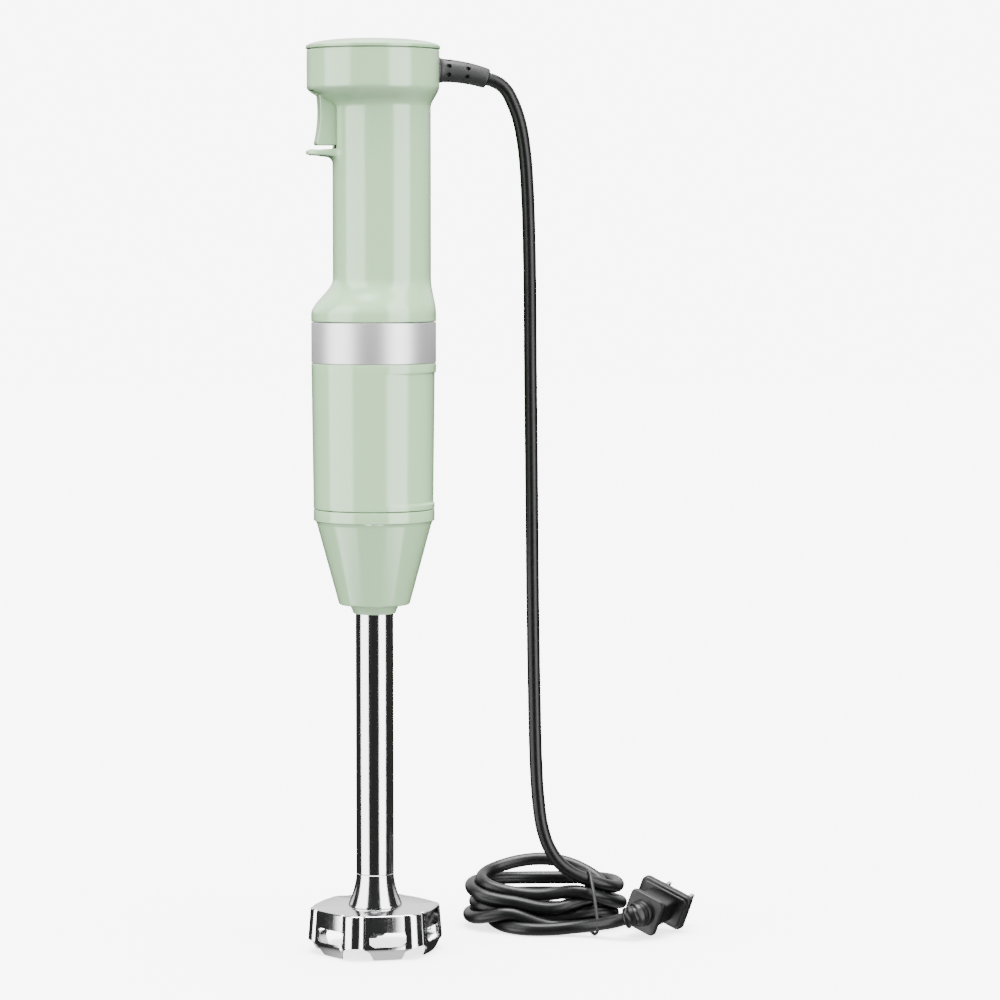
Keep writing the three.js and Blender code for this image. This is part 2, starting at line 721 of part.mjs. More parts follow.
function bayonetSocket() {
  const wall = ring(SLEEVE_BORE - TOUCH, socketBore, zBody + 0.4, zSocketTop, LARGE);
  const ledges = [];
  const [inner, outer] = [SPIGOT_R + TOUCH, socketBore + 0.4];
  const [low, stopTop] = [zLedgeTop - 3, zLedgeTop + LUG_HEIGHT];
  const stopAngle = 3;
  const stopAt = LUG_ANGLE / 2 + 1 + stopAngle / 2;
  for (let i = 0; i < BAYONET_COUNT; i++) {
    const at = (360 / BAYONET_COUNT) * i;
    ledges.push(arcBlock(inner, outer, low, zLedgeTop, at, LEDGE_ANGLE));
    ledges.push(arcBlock(inner, outer, low, stopTop, at - stopAt, stopAngle, 2));
  }
  return join(wall, ...ledges);
}

add("bayonet_socket", bayonetSocket(), "inner");

// ---- Blending arm -------------------------------------------------------------------------------

const arm = new THREE.Group();
blender.add(arm);

const COLLAR_HEIGHT = 5;
const TUBE_SOCKET = 7; // the tube passes this far up through the cone's floor
const zFloor = zNeck + TUBE_SOCKET;
const tubeBore = TUBE_R + TOUCH;
const TUBE_HOLD = 5; // thread above the floor for the nut

function armCone() {
  const groove = 0.5;
  const zConeTop = zSeam - COLLAR_HEIGHT - 1.6;
  const coneAt = (z) => mix(CONE_TIP_R, SEAM_R - 1.4, (z - zLip) / (zConeTop - zLip));
  const body = turned(
    [
      [tubeBore, zNeck],
      [NECK_R - 1.6, zNeck],
      [NECK_R, zLip - 0.6],
      [NECK_R + 0.2, zLip],
      [CONE_TIP_R - 1, zLip],
      [CONE_TIP_R, zLip + 1],
      [coneAt(zConeTop), zConeTop],
      [SEAM_R - groove, zSeam - COLLAR_HEIGHT - 0.2],
      [SEAM_R, zSeam - COLLAR_HEIGHT],
      [SEAM_R, zSeam],
      [SPIGOT_R, zSeam],
      [SPIGOT_R, zSeam + SPIGOT_HEIGHT],
      [SPIGOT_R - WALL, zSeam + SPIGOT_HEIGHT],
      [SPIGOT_R - WALL, zSeam - WALL],
      [SEAM_R - WALL - 1.6, zSeam - WALL],
      [coneAt(zConeTop) - WALL, zConeTop],
      [coneAt(zFloor + 0.2) - WALL, zFloor],
      [tubeBore, zFloor],
    ],
    LARGE,
  );
  const lugs = [];
  const [low, reach] = [zLedgeTop + TOUCH, SPIGOT_R + LUG_REACH];
  for (let i = 0; i < BAYONET_COUNT; i++) {
    const at = (360 / BAYONET_COUNT) * i;
    lugs.push(arcBlock(SPIGOT_R - 0.5, reach, low, low + LUG_HEIGHT, at, LUG_ANGLE));
  }
  return join(body, ...lugs);
}

const zFlare = BELL_HEIGHT + FLARE_HEIGHT;

function armTube() {
  const bore = TUBE_R - TUBE_WALL;
  return ring(TUBE_R, bore, zFlare + 0.6, zFloor + TUBE_HOLD, MIDDLE);
}

// The flared foot of the tube, welded to the tube above and the bell below.
function tubeFlare() {
  const bore = TUBE_R - TUBE_WALL;
  const curve = levels(0, 1, 5).map((t) => [
    TUBE_R + (FLARE_R - TUBE_R) * (1 - t) ** 1.7,
    mix(BELL_HEIGHT + 0.7, zFlare + TOUCH, t),
  ]);
  return turned([...curve, [bore, zFlare + TOUCH], [bore, BELL_HEIGHT + 0.7]], MIDDLE);
}

// Radius of a hexagon with rounded corners at an angle from its corner, as a share of the corner's.
function hexShare(angle, corner) {
  const sector = Math.PI / 3;
  const a = Math.abs(angle - sector * Math.round(angle / sector));
  const flat = Math.cos(Math.PI / 6) / Math.cos(Math.PI / 6 - a);
  const centre = 1 - corner / Math.cos(Math.PI / 6);
  const round = centre * Math.cos(a) + Math.sqrt(corner ** 2 - (centre * Math.sin(a)) ** 2);
  return Math.min(flat, Number.isNaN(round) ? flat : round);
}

// Turns a round profile of corner radii into a rounded hexagon with corners on the Y axis.
function hexagonal(profile) {
  return moved(turned(profile, 48), (v) => {
    const radius = Math.hypot(v.x, v.y);
    if (radius < TUBE_R + 1) return;
    const share = hexShare(Math.atan2(v.x, v.y), BELL_CORNER / BELL_TOP_R);
    v.x *= share;
    v.y *= share;
  });
}

const flatShare = Math.cos(Math.PI / 6);
const BELL_BORE = 5.2; // hole in the top plate for the lower bush
const zWindow = FOOT_HEIGHT + 0.4;

function bellGuard() {
  const edge = 0.9; // rounded edge between top plate and sides
  const cup = hexagonal([
    [BELL_BORE, BELL_HEIGHT],
    [BELL_TOP_R - edge, BELL_HEIGHT],
    [BELL_TOP_R, BELL_HEIGHT - edge],
    [BELL_EDGE_R, FOOT_HEIGHT],
    [BELL_EDGE_R - BELL_WALL * 1.15, FOOT_HEIGHT],
    [BELL_TOP_R - BELL_WALL * 1.15, BELL_HEIGHT - BELL_WALL],
    [BELL_BORE, BELL_HEIGHT - BELL_WALL],
  ]);
  const wallAt = BELL_EDGE_R * flatShare;
  const [half, top] = [WINDOW_WIDTH / 2, zWindow + WINDOW_HEIGHT];
  const cuts = [];
  const tabs = [];
  for (let i = 0; i < 6; i++) {
    const turn = (Math.PI / 3) * i;
    const gap = new THREE.Shape();
    gap.moveTo(-half + 2, zWindow - 2);
    gap.lineTo(half - 2, zWindow - 2);
    gap.lineTo(half, zWindow + 1);
    gap.lineTo(half, top - 2);
    gap.quadraticCurveTo(half, top, half - 2, top);
    gap.lineTo(-half + 2, top);
    gap.quadraticCurveTo(-half, top, -half, top - 2);
    gap.lineTo(-half, zWindow + 1);
    gap.closePath();
    cuts.push(plateXZ(gap, wallAt - 4, wallAt + 3).rotateZ(Math.PI / 2 + turn));
    const foot = new THREE.Shape();
    foot.moveTo(-half - 1.6, zWindow + 1.4);
    foot.lineTo(-half - 1.6, zWindow - 1);
    foot.quadraticCurveTo(-TAB_TOP_WIDTH / 2, zWindow - 1.6, -TAB_FOOT_WIDTH / 2 - 1, 1.4);
    foot.quadraticCurveTo(-TAB_FOOT_WIDTH / 2 - 0.4, 0, -TAB_FOOT_WIDTH / 2 + 1, 0);
    foot.lineTo(TAB_FOOT_WIDTH / 2 - 1, 0);
    foot.quadraticCurveTo(TAB_FOOT_WIDTH / 2 + 0.4, 0, TAB_FOOT_WIDTH / 2 + 1, 1.4);
    foot.quadraticCurveTo(TAB_TOP_WIDTH / 2, zWindow - 1.6, half + 1.6, zWindow - 1);
    foot.lineTo(half + 1.6, zWindow + 1.4);
    foot.lineTo(half - 0.6, zWindow + 1.4);
    foot.lineTo(half - 2.4, zWindow);
    foot.lineTo(-half + 2.4, zWindow);
    foot.lineTo(-half + 0.6, zWindow + 1.4);
    foot.closePath();
    const lean = (v) => {
      const drop = Math.max(0, (zWindow - v.z) / zWindow);
      v.y -= TAB_LEAN * drop ** 1.5;
    };
    const plate = moved(plateXZ(foot, wallAt - BELL_WALL - 0.05, wallAt - 0.05), lean);
    tabs.push(plate.rotateZ(Math.PI / 2 + turn));
  }
  return join(cut(cup, ...cuts), ...tabs);
}

add("arm_cone", armCone(), "green", arm);
add("arm_tube", armTube(), "steel", arm);
add("tube_flare", tubeFlare(), "steel", arm);
add("bell_guard", bellGuard(), "steel", arm);
add("tube_nut", nut(TUBE_R + 3.6, tubeBore, zFloor + TOUCH, zFloor + TOUCH + 3.5), "iron", arm);
const bushR = TUBE_R - TUBE_WALL - TOUCH;
const sealR = BELL_BORE - TOUCH;
add("upper_bush", ring(bushR, onShaft, zFloor - 6, zFloor + 2, SMALL), "brown", arm);
add("lower_bush", ring(bushR, onShaft, BELL_HEIGHT + 1.2, BELL_HEIGHT + 11, SMALL), "brown", arm);
add("shaft_seal", ring(sealR, onShaft, BELL_HEIGHT - 3, BELL_HEIGHT + 0.8, SMALL), "rubber", arm);

// The arm's turning parts.
const DRIVEN_HEIGHT = 5.7;
const zDrivenLow = zDriven - DRIVEN_HEIGHT;
add("drive_shaft", disc(SHAFT_R, 6.4, zDriven - 0.8, SMALL), "steel", arm);
const drivenPlate = ring(COUPLING_R, onShaft, zDrivenLow, zDriven);
add("arm_coupling", join(drivenPlate, ...jaws(zDriven - 0.5, zDriven + JAW_HEIGHT, 90)), "black", arm);

// Two wings on a flat hub, one bent up and one bent down, each with a sharpened edge.
function bladeWings() {
  const outline = new THREE.Shape();
  outline.moveTo(-4.6, 0);
  outline.lineTo(-4.2, BLADE_R * 0.42);
  outline.lineTo(-1.8, BLADE_R * 0.93);
  outline.quadraticCurveTo(-0.4, BLADE_R, 1.6, BLADE_R * 0.96);
  outline.lineTo(4.6, BLADE_R * 0.5);
  outline.lineTo(4.6, 0);
  outline.lineTo(4.2, -BLADE_R * 0.42);
  outline.lineTo(1.8, -BLADE_R * 0.93);
  outline.quadraticCurveTo(0.4, -BLADE_R, -1.6, -BLADE_R * 0.96);
  outline.lineTo(-4.6, -BLADE_R * 0.5);
  outline.closePath();
  const plate = new THREE.ExtrudeGeometry(outline, { depth: 1.4, bevelEnabled: false, curveSegments: 4 });
  const flat = moved(plate.translate(0, 0, BLADE_Z), (v) => {
    const out = Math.max(0, Math.abs(v.y) - 7.6) * Math.sign(v.y);
    v.z += out > 0 ? 0.2 * out : 0.12 * out;
  });
  const bore = bar([0, 0, 0], [0, 0, 20], SHAFT_R + PIN_PLAY, 16);
  return cut(flat, bore);
}

const BLADE_TURN = 62; // degrees about the shaft at rest
add("blade", bladeWings().rotate([0, 0, BLADE_TURN]), "blade", arm);
add("blade_nut", nut(4.4, onShaft, BLADE_Z - 3, BLADE_Z - TOUCH), "steel", arm);
add("blade_spacer", ring(4, onShaft, BLADE_Z + 2.4, BELL_HEIGHT - 3 - RUN, SMALL), "steel", arm);

// ---- Mains lead ---------------------------------------------------------------------------------

// The lead's plan directions: along the coil's length and across it.
const COIL_TURN = degrees(79);
const along = ([u, v, z]) => [
  u * Math.cos(COIL_TURN) - v * Math.sin(COIL_TURN),
  u * Math.sin(COIL_TURN) + v * Math.cos(COIL_TURN),
  z,
];

function strainRelief() {
  const start = HEAD_R - WALL - 3.6;
  const end = HEAD_R + RELIEF_LENGTH;
  const boot = turned(
    [
      [0, start],
      [RELIEF_R + 1.3, start],
      [RELIEF_R + 1.3, start + 2],
      [RELIEF_R, start + 2],
      ...levels(0, 1, 5).map((t) => [mix(RELIEF_R, RELIEF_END_R, t), mix(HEAD_R, end, t)]),
      [0, end],
    ],
    SMALL,
  );
  const bendR = RELIEF_LENGTH / degrees(RELIEF_BEND);
  return moved(boot.rotateX(-Math.PI / 2), (v) => {
    const angle = Math.max(0, v.y - HEAD_R) / bendR;
    const past = Math.min(v.y, HEAD_R);
    v.y = past + bendR * Math.sin(angle) + v.z * Math.sin(angle);
    v.z = zRelief - bendR * (1 - Math.cos(angle)) + v.z * Math.cos(angle);
  });
}

// Straight out of the boot, over in one bend, down beside the body and onto the coil.
const CORD_POINTS = [
  [51.15, 9.94, 393.2],
  [54.5, 10.6, 392.05],
  [58.2, 11.3, 389.7],
  [61.8, 12.2, 383.9],
  [65.2, 14, 374.9],
  [67.6, 17, 361.6],
  [69, 19, 343.6],
  [70, 23, 312],
  [70.5, 27, 264.2],
  [71.1, 31, 211.4],
  [71.7, 36, 155.6],
  [72.5, 38.5, 108.9],
  [73.3, 39.6, 78.8],
  [74.4, 40.2, 61.9],
  [76.5, 40.6, 47.8],
  [80.7, 41, 36.9],
  [86.9, 41.8, 29.1],
  [93.8, 43.6, 24.2],
];

const COIL = { centre: [78, 60], half: [39, 32], tube: 14, top: 18 };

function coil() {
  const outline = new THREE.Shape();
  outline.absellipse(0, 0, ...COIL.half, 0, 2 * Math.PI);
  const hole = new THREE.Path();
  hole.absellipse(0, 0, COIL.half[0] - COIL.tube, COIL.half[1] - COIL.tube, 0, 2 * Math.PI);
  outline.holes.push(hole);
  return new THREE.ExtrudeGeometry(outline, { depth: COIL.top, bevelEnabled: false, curveSegments: 20 })
    .rotateZ(COIL_TURN)
    .translate(...along([...COIL.centre, 0]));
}

// A thin tie over the strands at the front of the coil, open where it meets the floor.
const TIE = { front: [102, 21.8], back: [96.5, 51], width: 2, thickness: 1.2 };

function tie() {
  const { front, back, width, thickness } = TIE;
  const across = [back[0] - front[0], back[1] - front[1]];
  const half = Math.hypot(...across) / 2;
  const middle = [front[0] + across[0] / 2, front[1] + across[1] / 2, 0];
  const roof = COIL.top + TOUCH;
  const outside = box([-half - thickness, -width / 2, 0], [half + thickness, width / 2, roof + thickness]);
  const inside = box([-half, -width, -1], [half, width, roof]);
  const facing = COIL_TURN + Math.atan2(across[1], across[0]);
  return cut(outside, inside)
    .rotate([0, 0, THREE.MathUtils.radToDeg(facing)])
    .translate(along(middle));
}

const PLUG = {
  place: [122.2, 24.7, 11.9],
  yaw: 28,
  pitch: 3,
  roll: 22,
  flange: 17.5,
  flangeThickness: 3,
  neck: [15, 11, 17],
  face: [26, 17, 4.5],
};

// The plug's group: its +Z runs from the lead to the blades.
function plugGroup() {
  const group = new THREE.Group();
  group.position.set(...along(PLUG.place));
  const flat = degrees(79 - PLUG.yaw); // heading of the blades in plan, from +Y towards -X
  const way = new THREE.Vector3(-Math.sin(flat), Math.cos(flat), Math.sin(degrees(PLUG.pitch))).normalize();
  const side = new THREE.Vector3(Math.cos(flat), Math.sin(flat), 0);
  const up = new THREE.Vector3().crossVectors(way, side).negate();
  const roll = degrees(PLUG.roll);
  const x = side.clone().multiplyScalar(Math.cos(roll)).addScaledVector(up, -Math.sin(roll));
  const y = new THREE.Vector3().crossVectors(way, x);
  group.quaternion.setFromRotationMatrix(new THREE.Matrix4().makeBasis(x, y, way));
  return group;
}

function roundedBlock(width, height, low, high, corner = 2) {
  const [a, b] = [width / 2, height / 2];
  const shape = new THREE.Shape();
  shape.moveTo(-a + corner, -b);
  shape.lineTo(a - corner, -b);
  shape.quadraticCurveTo(a, -b, a, -b + corner);
  shape.lineTo(a, b - corner);
  shape.quadraticCurveTo(a, b, a - corner, b);
  shape.lineTo(-a + corner, b);
  shape.quadraticCurveTo(-a, b, -a, b - corner);
  shape.lineTo(-a, -b + corner);
  shape.quadraticCurveTo(-a, -b, -a + corner, -b);
  return new THREE.ExtrudeGeometry(shape, { depth: high - low, bevelEnabled: false, curveSegments: 3 })
    .translate(0, 0, low);
}

const plugFaceLow = PLUG.flangeThickness + PLUG.neck[2];
const plugFaceHigh = plugFaceLow + PLUG.face[2];

// The boot bends from the lead's direction into the plug's.
const BOOT_R = 5.2;
const BOOT_POINTS = [
  [114.2, 21.2, 9.9],
  [117, 20.7, 10.8],
  [119.9, 21.9, 11.6],
  [122.4, 25.2, 11.9],
];

function plugBody(place) {
  const boot = tube(BOOT_POINTS.map(along), BOOT_R, 12, 6).applyMatrix4(place.clone().invert());
  return join(
    boot,
    roundedBlock(PLUG.flange, PLUG.flange, 0, PLUG.flangeThickness),
    roundedBlock(PLUG.neck[0], PLUG.neck[1], 1, plugFaceLow + 1),
    roundedBlock(PLUG.face[0], PLUG.face[1], plugFaceLow, plugFaceHigh),
  );
}

add("strain_relief", strainRelief(), "rubber");
add("power_cord", tube(CORD_POINTS.map(along), CORD_R, 8, 42), "black");
add("cord_coil", coil(), "black");
add("cord_tie", tie(), "black");

const plug = plugGroup();
blender.add(plug);
plug.updateMatrixWorld(true);
add("plug_body", plugBody(plug.matrixWorld), "black", plug);
const PIN_SPACING = 12.7;
const PIN_SIZE = [1.5, 6.3, 16];
for (const [i, side] of [-1, 1].entries()) {
  const [x, low] = [(side * PIN_SPACING) / 2, plugFaceHigh + TOUCH];
  const [thick, wide, long] = PIN_SIZE;
  add(
    `plug_pin_${i + 1}`,
    box([x - thick / 2, -wide / 2, low], [x + thick / 2, wide / 2, low + long]),
    "steel",
    plug,
  );
}

// From the coil round into the plug's boot.
const TAIL_POINTS = [
  [97.2, 28.2, 5.2],
  [101.4, 26.3, 6.2],
  [105.5, 23.9, 7.2],
  [109.6, 22.15, 8.4],
  [113.75, 21.28, 9.76],
];
add("cord_tail", tube(TAIL_POINTS.map(along), CORD_R, 8, 8), "black");

// Inside the head, two wires go from the lead to the switch.
const WIRE_R = 0.9;
for (const [name, side, look] of [["lead_live", 1, "brown"], ["lead_neutral", -1, "blue"]]) {
  const route = [
    [side * 1.6, HEAD_R - WALL - 4.2, zRelief + 1],
    [side * 6, 13, zPivot + 6.5],
    [side * 10.2, 6, zPivot + 4],
    [side * 10.4, 1, zHead - 4],
    [side * 8.4, 0, zPlunger + 8],
    [side * 8.2, 0, zPlunger - 8],
  ];
  add(name, tube(route, WIRE_R, 6, 14), look);
}

export default blender;
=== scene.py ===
"""Corded immersion blender: the fine surfaces and finishes around its mechanical frame.

Lengths inside the shape functions are millimetres, +Z up, with the origin on the floor under the
blending tube. make_piece() turns them into metres.
"""
import functools
import json
import math

import bmesh
import bpy
import numpy as np
from bpy.props import FloatProperty, FloatVectorProperty, IntProperty, PointerProperty
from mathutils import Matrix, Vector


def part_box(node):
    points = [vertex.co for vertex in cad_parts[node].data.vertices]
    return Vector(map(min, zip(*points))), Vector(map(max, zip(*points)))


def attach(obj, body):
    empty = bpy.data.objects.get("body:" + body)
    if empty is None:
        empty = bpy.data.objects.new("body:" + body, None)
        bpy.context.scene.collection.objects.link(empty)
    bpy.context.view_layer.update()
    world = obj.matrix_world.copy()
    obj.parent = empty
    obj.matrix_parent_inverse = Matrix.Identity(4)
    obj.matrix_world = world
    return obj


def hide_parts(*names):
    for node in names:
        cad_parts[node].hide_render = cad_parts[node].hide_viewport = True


bl_info = {
    "name": "Immersion Blender",
    "version": (1, 0, 0),
    "blender": (4, 5, 0),
    "location": "3D View > Sidebar > Blender Maker",
    "description": "Builds the shells, steelwork, mains lead and finishes of a corded immersion blender",
    "category": "Add Mesh",
}

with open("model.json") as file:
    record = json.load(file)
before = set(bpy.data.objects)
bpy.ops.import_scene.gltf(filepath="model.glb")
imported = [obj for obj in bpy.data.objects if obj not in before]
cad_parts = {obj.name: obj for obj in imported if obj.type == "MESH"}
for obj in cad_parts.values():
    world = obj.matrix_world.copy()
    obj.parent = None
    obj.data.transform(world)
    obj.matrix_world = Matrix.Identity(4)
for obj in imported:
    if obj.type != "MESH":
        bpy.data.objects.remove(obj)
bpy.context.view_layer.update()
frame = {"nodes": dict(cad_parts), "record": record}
MM = 0.001


def reach(node, axis, high=True):
    """Highest or lowest coordinate of a frame node along an axis, in millimetres."""
    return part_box(node)[1 if high else 0][axis] / MM


# Places that come from the frame.
SEAM_GAP = 0.3
Z_BODY = reach("motor_sleeve", 2, high=False)
Z_SEAM = Z_BODY - SEAM_GAP
Z_BAND = reach("trim_band", 2, high=False)
Z_SHELL = reach("trim_band", 2)
Z_HEAD_TOP = reach("upper_shell", 2)
Z_CAP_TOP = reach("top_cap", 2)
Z_NECK = reach("arm_cone", 2, high=False)
Z_SPIGOT = reach("arm_cone", 2)
Z_BELL = reach("bell_guard", 2)
Z_TRIGGER_FOOT = reach("trigger", 2, high=False)
Z_PIVOT = (reach("trigger_pin", 2) + reach("trigger_pin", 2, high=False)) / 2
PIVOT_Y = (reach("trigger_pin", 1) + reach("trigger_pin", 1, high=False)) / 2
BODY_R = reach("trim_band", 0)
SEAM_R = reach("arm_cone", 0)
HEAD_R = reach("upper_shell", 0)
CAP_R = reach("top_cap", 0)
TUBE_R = reach("arm_tube", 0)
FLARE_R = reach("tube_flare", 0)
TRIGGER_HALF = reach("trigger", 0)
LEDGE_REACH = -reach("upper_shell", 1, high=False)

# The lead's plan directions: along its coil and across it.
COIL_TURN = math.radians(79)


def along(points):
    """Points given along the coil, across it and up, turned into x, y and z."""
    u, v, z = np.asarray(points, float).T
    cos, sin = math.cos(COIL_TURN), math.sin(COIL_TURN)
    return np.stack([u * cos - v * sin, u * sin + v * cos, z], -1)


# ---- Settings ------------------------------------------------------------------------------------


def length_setting(name, description, default):
    """A length setting, whose default is given in millimetres and kept in metres."""
    return FloatProperty(
        name=name, description=description, default=default * MM, min=0.0, precision=4, unit="LENGTH"
    )


def colour_setting(name, description, default):
    """A colour setting, in linear light."""
    return FloatVectorProperty(
        name=name, description=description, default=default, min=0.0, max=1.0, subtype="COLOR"
    )


class ShellSettings(bpy.types.PropertyGroup):
    """Sizes and colour of the mouldings."""

    grip_radius: length_setting("Grip radius", "Half width of the grip", 22.0)
    grip_shift: length_setting("Grip shift", "How far the grip lies behind the tube's axis", 3.8)
    wall: length_setting("Wall", "Thickness of the moulded shells", 2.4)
    edge: length_setting("Edge radius", "Rounding along the shells' edges", 0.45)
    tint: colour_setting("Shell colour", "Pistachio of the mouldings", (0.335, 0.53, 0.305))


class SteelSettings(bpy.types.PropertyGroup):
    """Sizes and colour of the steelwork."""

    wall: length_setting("Sheet", "Thickness of the bell's sheet", 1.0)
    corner: length_setting("Corner radius", "Plan rounding of the bell", 5.0)
    window_width: length_setting("Window width", "Width of a bell window", 16.8)
    window_height: length_setting("Window height", "Height of a bell window", 6.4)
    tint: colour_setting("Steel colour", "Polished stainless", (0.80, 0.80, 0.81))


class LeadSettings(bpy.types.PropertyGroup):
    """Sizes and colour of the mains lead."""

    diameter: length_setting("Lead diameter", "Outer diameter of the lead", 6.0)
    turns: IntProperty(name="Turns", description="Turns in the tied coil", default=5, min=1, max=5)
    tint: colour_setting("Lead colour", "Black vinyl", (0.0035, 0.0035, 0.0037))


# ---- Mesh helpers --------------------------------------------------------------------------------


def grid_faces(rows, columns, wrap_rows=False, wrap_columns=True):
    """Quads between neighbouring rows and columns of a grid of points, by their numbers."""
    r = np.arange(rows if wrap_rows else rows - 1)
    c = np.arange(columns if wrap_columns else columns - 1)
    r0, c0 = np.meshgrid(r, c, indexing="ij")
    r1, c1 = (r0 + 1) % rows, (c0 + 1) % columns
    corners = [r0 * columns + c0, r0 * columns + c1, r1 * columns + c1, r1 * columns + c0]
    return np.stack(corners, -1).reshape(-1, 4)


def tidy(mesh):
    """Merges doubled points, which closes seams and poles, and turns the faces outward."""
    work = bmesh.new()
    work.from_mesh(mesh)
    bmesh.ops.remove_doubles(work, verts=work.verts, dist=1e-6)
    bmesh.ops.dissolve_degenerate(work, edges=work.edges, dist=1e-7)
    bmesh.ops.recalc_face_normals(work, faces=work.faces)
    work.to_mesh(mesh)
    work.free()


def numbered(faces, first):
    """Faces whose points are counted on from the first number."""
    if isinstance(faces, np.ndarray):
        return (faces + first).tolist()
    return [[i + first for i in face] for face in faces]


def merged_mesh(name, parts):
    """One closed mesh in metres from (points, faces) parts in millimetres."""
    points, faces, first = [], [], 0
    for part_points, part_faces in parts:
        points.append(np.reshape(part_points, (-1, 3)))
        faces += numbered(part_faces, first)
        first += len(points[-1])
    mesh = bpy.data.meshes.new(name)
    mesh.from_pydata((np.concatenate(points) * MM).tolist(), [], faces)
    tidy(mesh)
    return mesh


def make_piece(name, parts, slot, body, replaced=(), sharp=35):
    """One object from (points, faces) parts: it has its slot's finish, and it rides on a body in
    place of frame nodes."""
    mesh = merged_mesh(name, parts)
    mesh.materials.append(FINISHES[slot])
    piece = bpy.data.objects.new(name, mesh)
    bpy.context.scene.collection.objects.link(piece)
    soften(piece, sharp)
    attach(piece, body)
    if replaced:
        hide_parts(*replaced)
    return piece


def soften(piece, sharp):
    """Smooth shading, split where faces meet at more than the sharp angle in degrees."""
    piece.data.shade_smooth()
    piece.data.set_sharp_from_angle(angle=math.radians(sharp))


def bake(piece, sharp=35):
    """Puts the result of a piece's modifiers into its mesh."""
    bpy.context.view_layer.update()
    seen = piece.evaluated_get(bpy.context.evaluated_depsgraph_get())
    mesh = bpy.data.meshes.new_from_object(seen)
    mesh.name = piece.data.name
    piece.modifiers.clear()
    piece.data = mesh
    soften(piece, sharp)


def bevel(piece, width, segments=2, angle=35):
    """A live rounding of the piece's sharp edges, width in millimetres."""
    edge = piece.modifiers.new("edge", "BEVEL")
    edge.width = width * MM
    edge.segments = segments
    edge.limit_method = "ANGLE"
    edge.angle_limit = math.radians(angle)
    edge.harden_normals = True
    return edge


def rounded(corners, steps=4, closed=True):
    """Outline through corners (x, y, radius). Each corner is a curve from one side to the other that
    starts radius * tan(half the turn) before it, which is where an arc of that radius would touch."""
    corners = np.array([list(c) + [0.0] * (3 - len(c)) for c in corners], float)
    points = []
    count = len(corners)
    for i, (x, y, radius) in enumerate(corners):
        here = np.array([x, y])
        if radius == 0 or (not closed and i in (0, count - 1)):
            points.append(here[None])
            continue
        back = corners[i - 1, :2] - here
        ahead = corners[(i + 1) % count, :2] - here
        room = 0.49 * min(np.linalg.norm(back), np.linalg.norm(ahead))
        back, ahead = back / np.linalg.norm(back), ahead / np.linalg.norm(ahead)
        half_turn = (math.pi - math.acos(np.clip(back @ ahead, -1, 1))) / 2
        far = min(radius * math.tan(half_turn), room)
        t = np.linspace(0, 1, steps + 1)[:, None]
        start, end = here + back * far, here + ahead * far
        points.append((1 - t) ** 2 * start + 2 * t * (1 - t) * here + t**2 * end)
    return np.concatenate(points)


def revolve(outline, segments=144, shift=None):
    """Each outline point (radius, height) is carried round the Z axis; shift moves a height's ring in Y."""
    angle = np.linspace(0, 2 * math.pi, segments, endpoint=False)
    radius, height = outline[:, :1], outline[:, 1:]
    moved = shift(height) if shift else 0 * height
    flat = 0 * angle
    points = np.stack([radius * np.cos(angle), radius * np.sin(angle) + moved, height + flat], -1)
    return points, grid_faces(len(outline), segments, wrap_rows=True)


def smooth_route(points, step):
    """A curve through points: cubic pieces whose slope at each point is that of its neighbours,
    resampled so that its points lie one step apart along it."""
    points = np.asarray(points, float)
    at = np.concatenate([[0], np.cumsum(np.sqrt(np.linalg.norm(np.diff(points, axis=0), axis=1)))])
    slope = np.gradient(points, at, axis=0)
    fine = np.linspace(0, at[-1], 40 * len(points))
    i = np.clip(np.searchsorted(at, fine, side="right") - 1, 0, len(points) - 2)
    span = (at[i + 1] - at[i])[:, None]
    t = (fine[:, None] - at[i][:, None]) / span
    curve = (
        (2 * t**3 - 3 * t**2 + 1) * points[i]
        + (t**3 - 2 * t**2 + t) * span * slope[i]
        + (3 * t**2 - 2 * t**3) * points[i + 1]
        + (t**3 - t**2) * span * slope[i + 1]
    )
    return even_route(curve, step)


def even_route(curve, step):
    """The same line with its points one step apart."""
    run = np.concatenate([[0], np.cumsum(np.linalg.norm(np.diff(curve, axis=0), axis=1))])
    count = max(2, round(run[-1] / step) + 1)
    even = np.linspace(0, run[-1], count)
    return np.stack([np.interp(even, run, curve[:, k]) for k in range(3)], -1)


def frames(route, start=(0.0, 0.0, 1.0)):
    """Two directions square to the route at each station, turned as little as possible on the way."""
    way = np.gradient(route, axis=0)
    way /= np.linalg.norm(way, axis=1)[:, None]
    side = np.empty_like(way)
    last = np.asarray(start, float)
    for i, ahead in enumerate(way):
        last = last - ahead * (last @ ahead)
        last /= np.linalg.norm(last)
        side[i] = last
    return side, np.cross(way, side)


def sweep(route, radius, sides=20, start=(0.0, 0.0, 1.0), closed=False):
    """A round section carried along a route; radius may change from station to station.
    An open route gets a point at each end that closes it."""
    side, other = frames(route, start)
    angle = np.linspace(0, 2 * math.pi, sides, endpoint=False)
    ring = np.cos(angle)[None, :, None] * side[:, None] + np.sin(angle)[None, :, None] * other[:, None]
    radius = np.broadcast_to(np.asarray(radius, float), len(route))
    points = route[:, None] + ring * radius[:, None, None]
    if not closed:
        ends = [np.repeat(route[[i]][:, None], sides, axis=1) for i in (0, -1)]
        points = np.concatenate([ends[0], points, ends[1]])
    return points, grid_faces(len(points), sides, wrap_rows=closed)


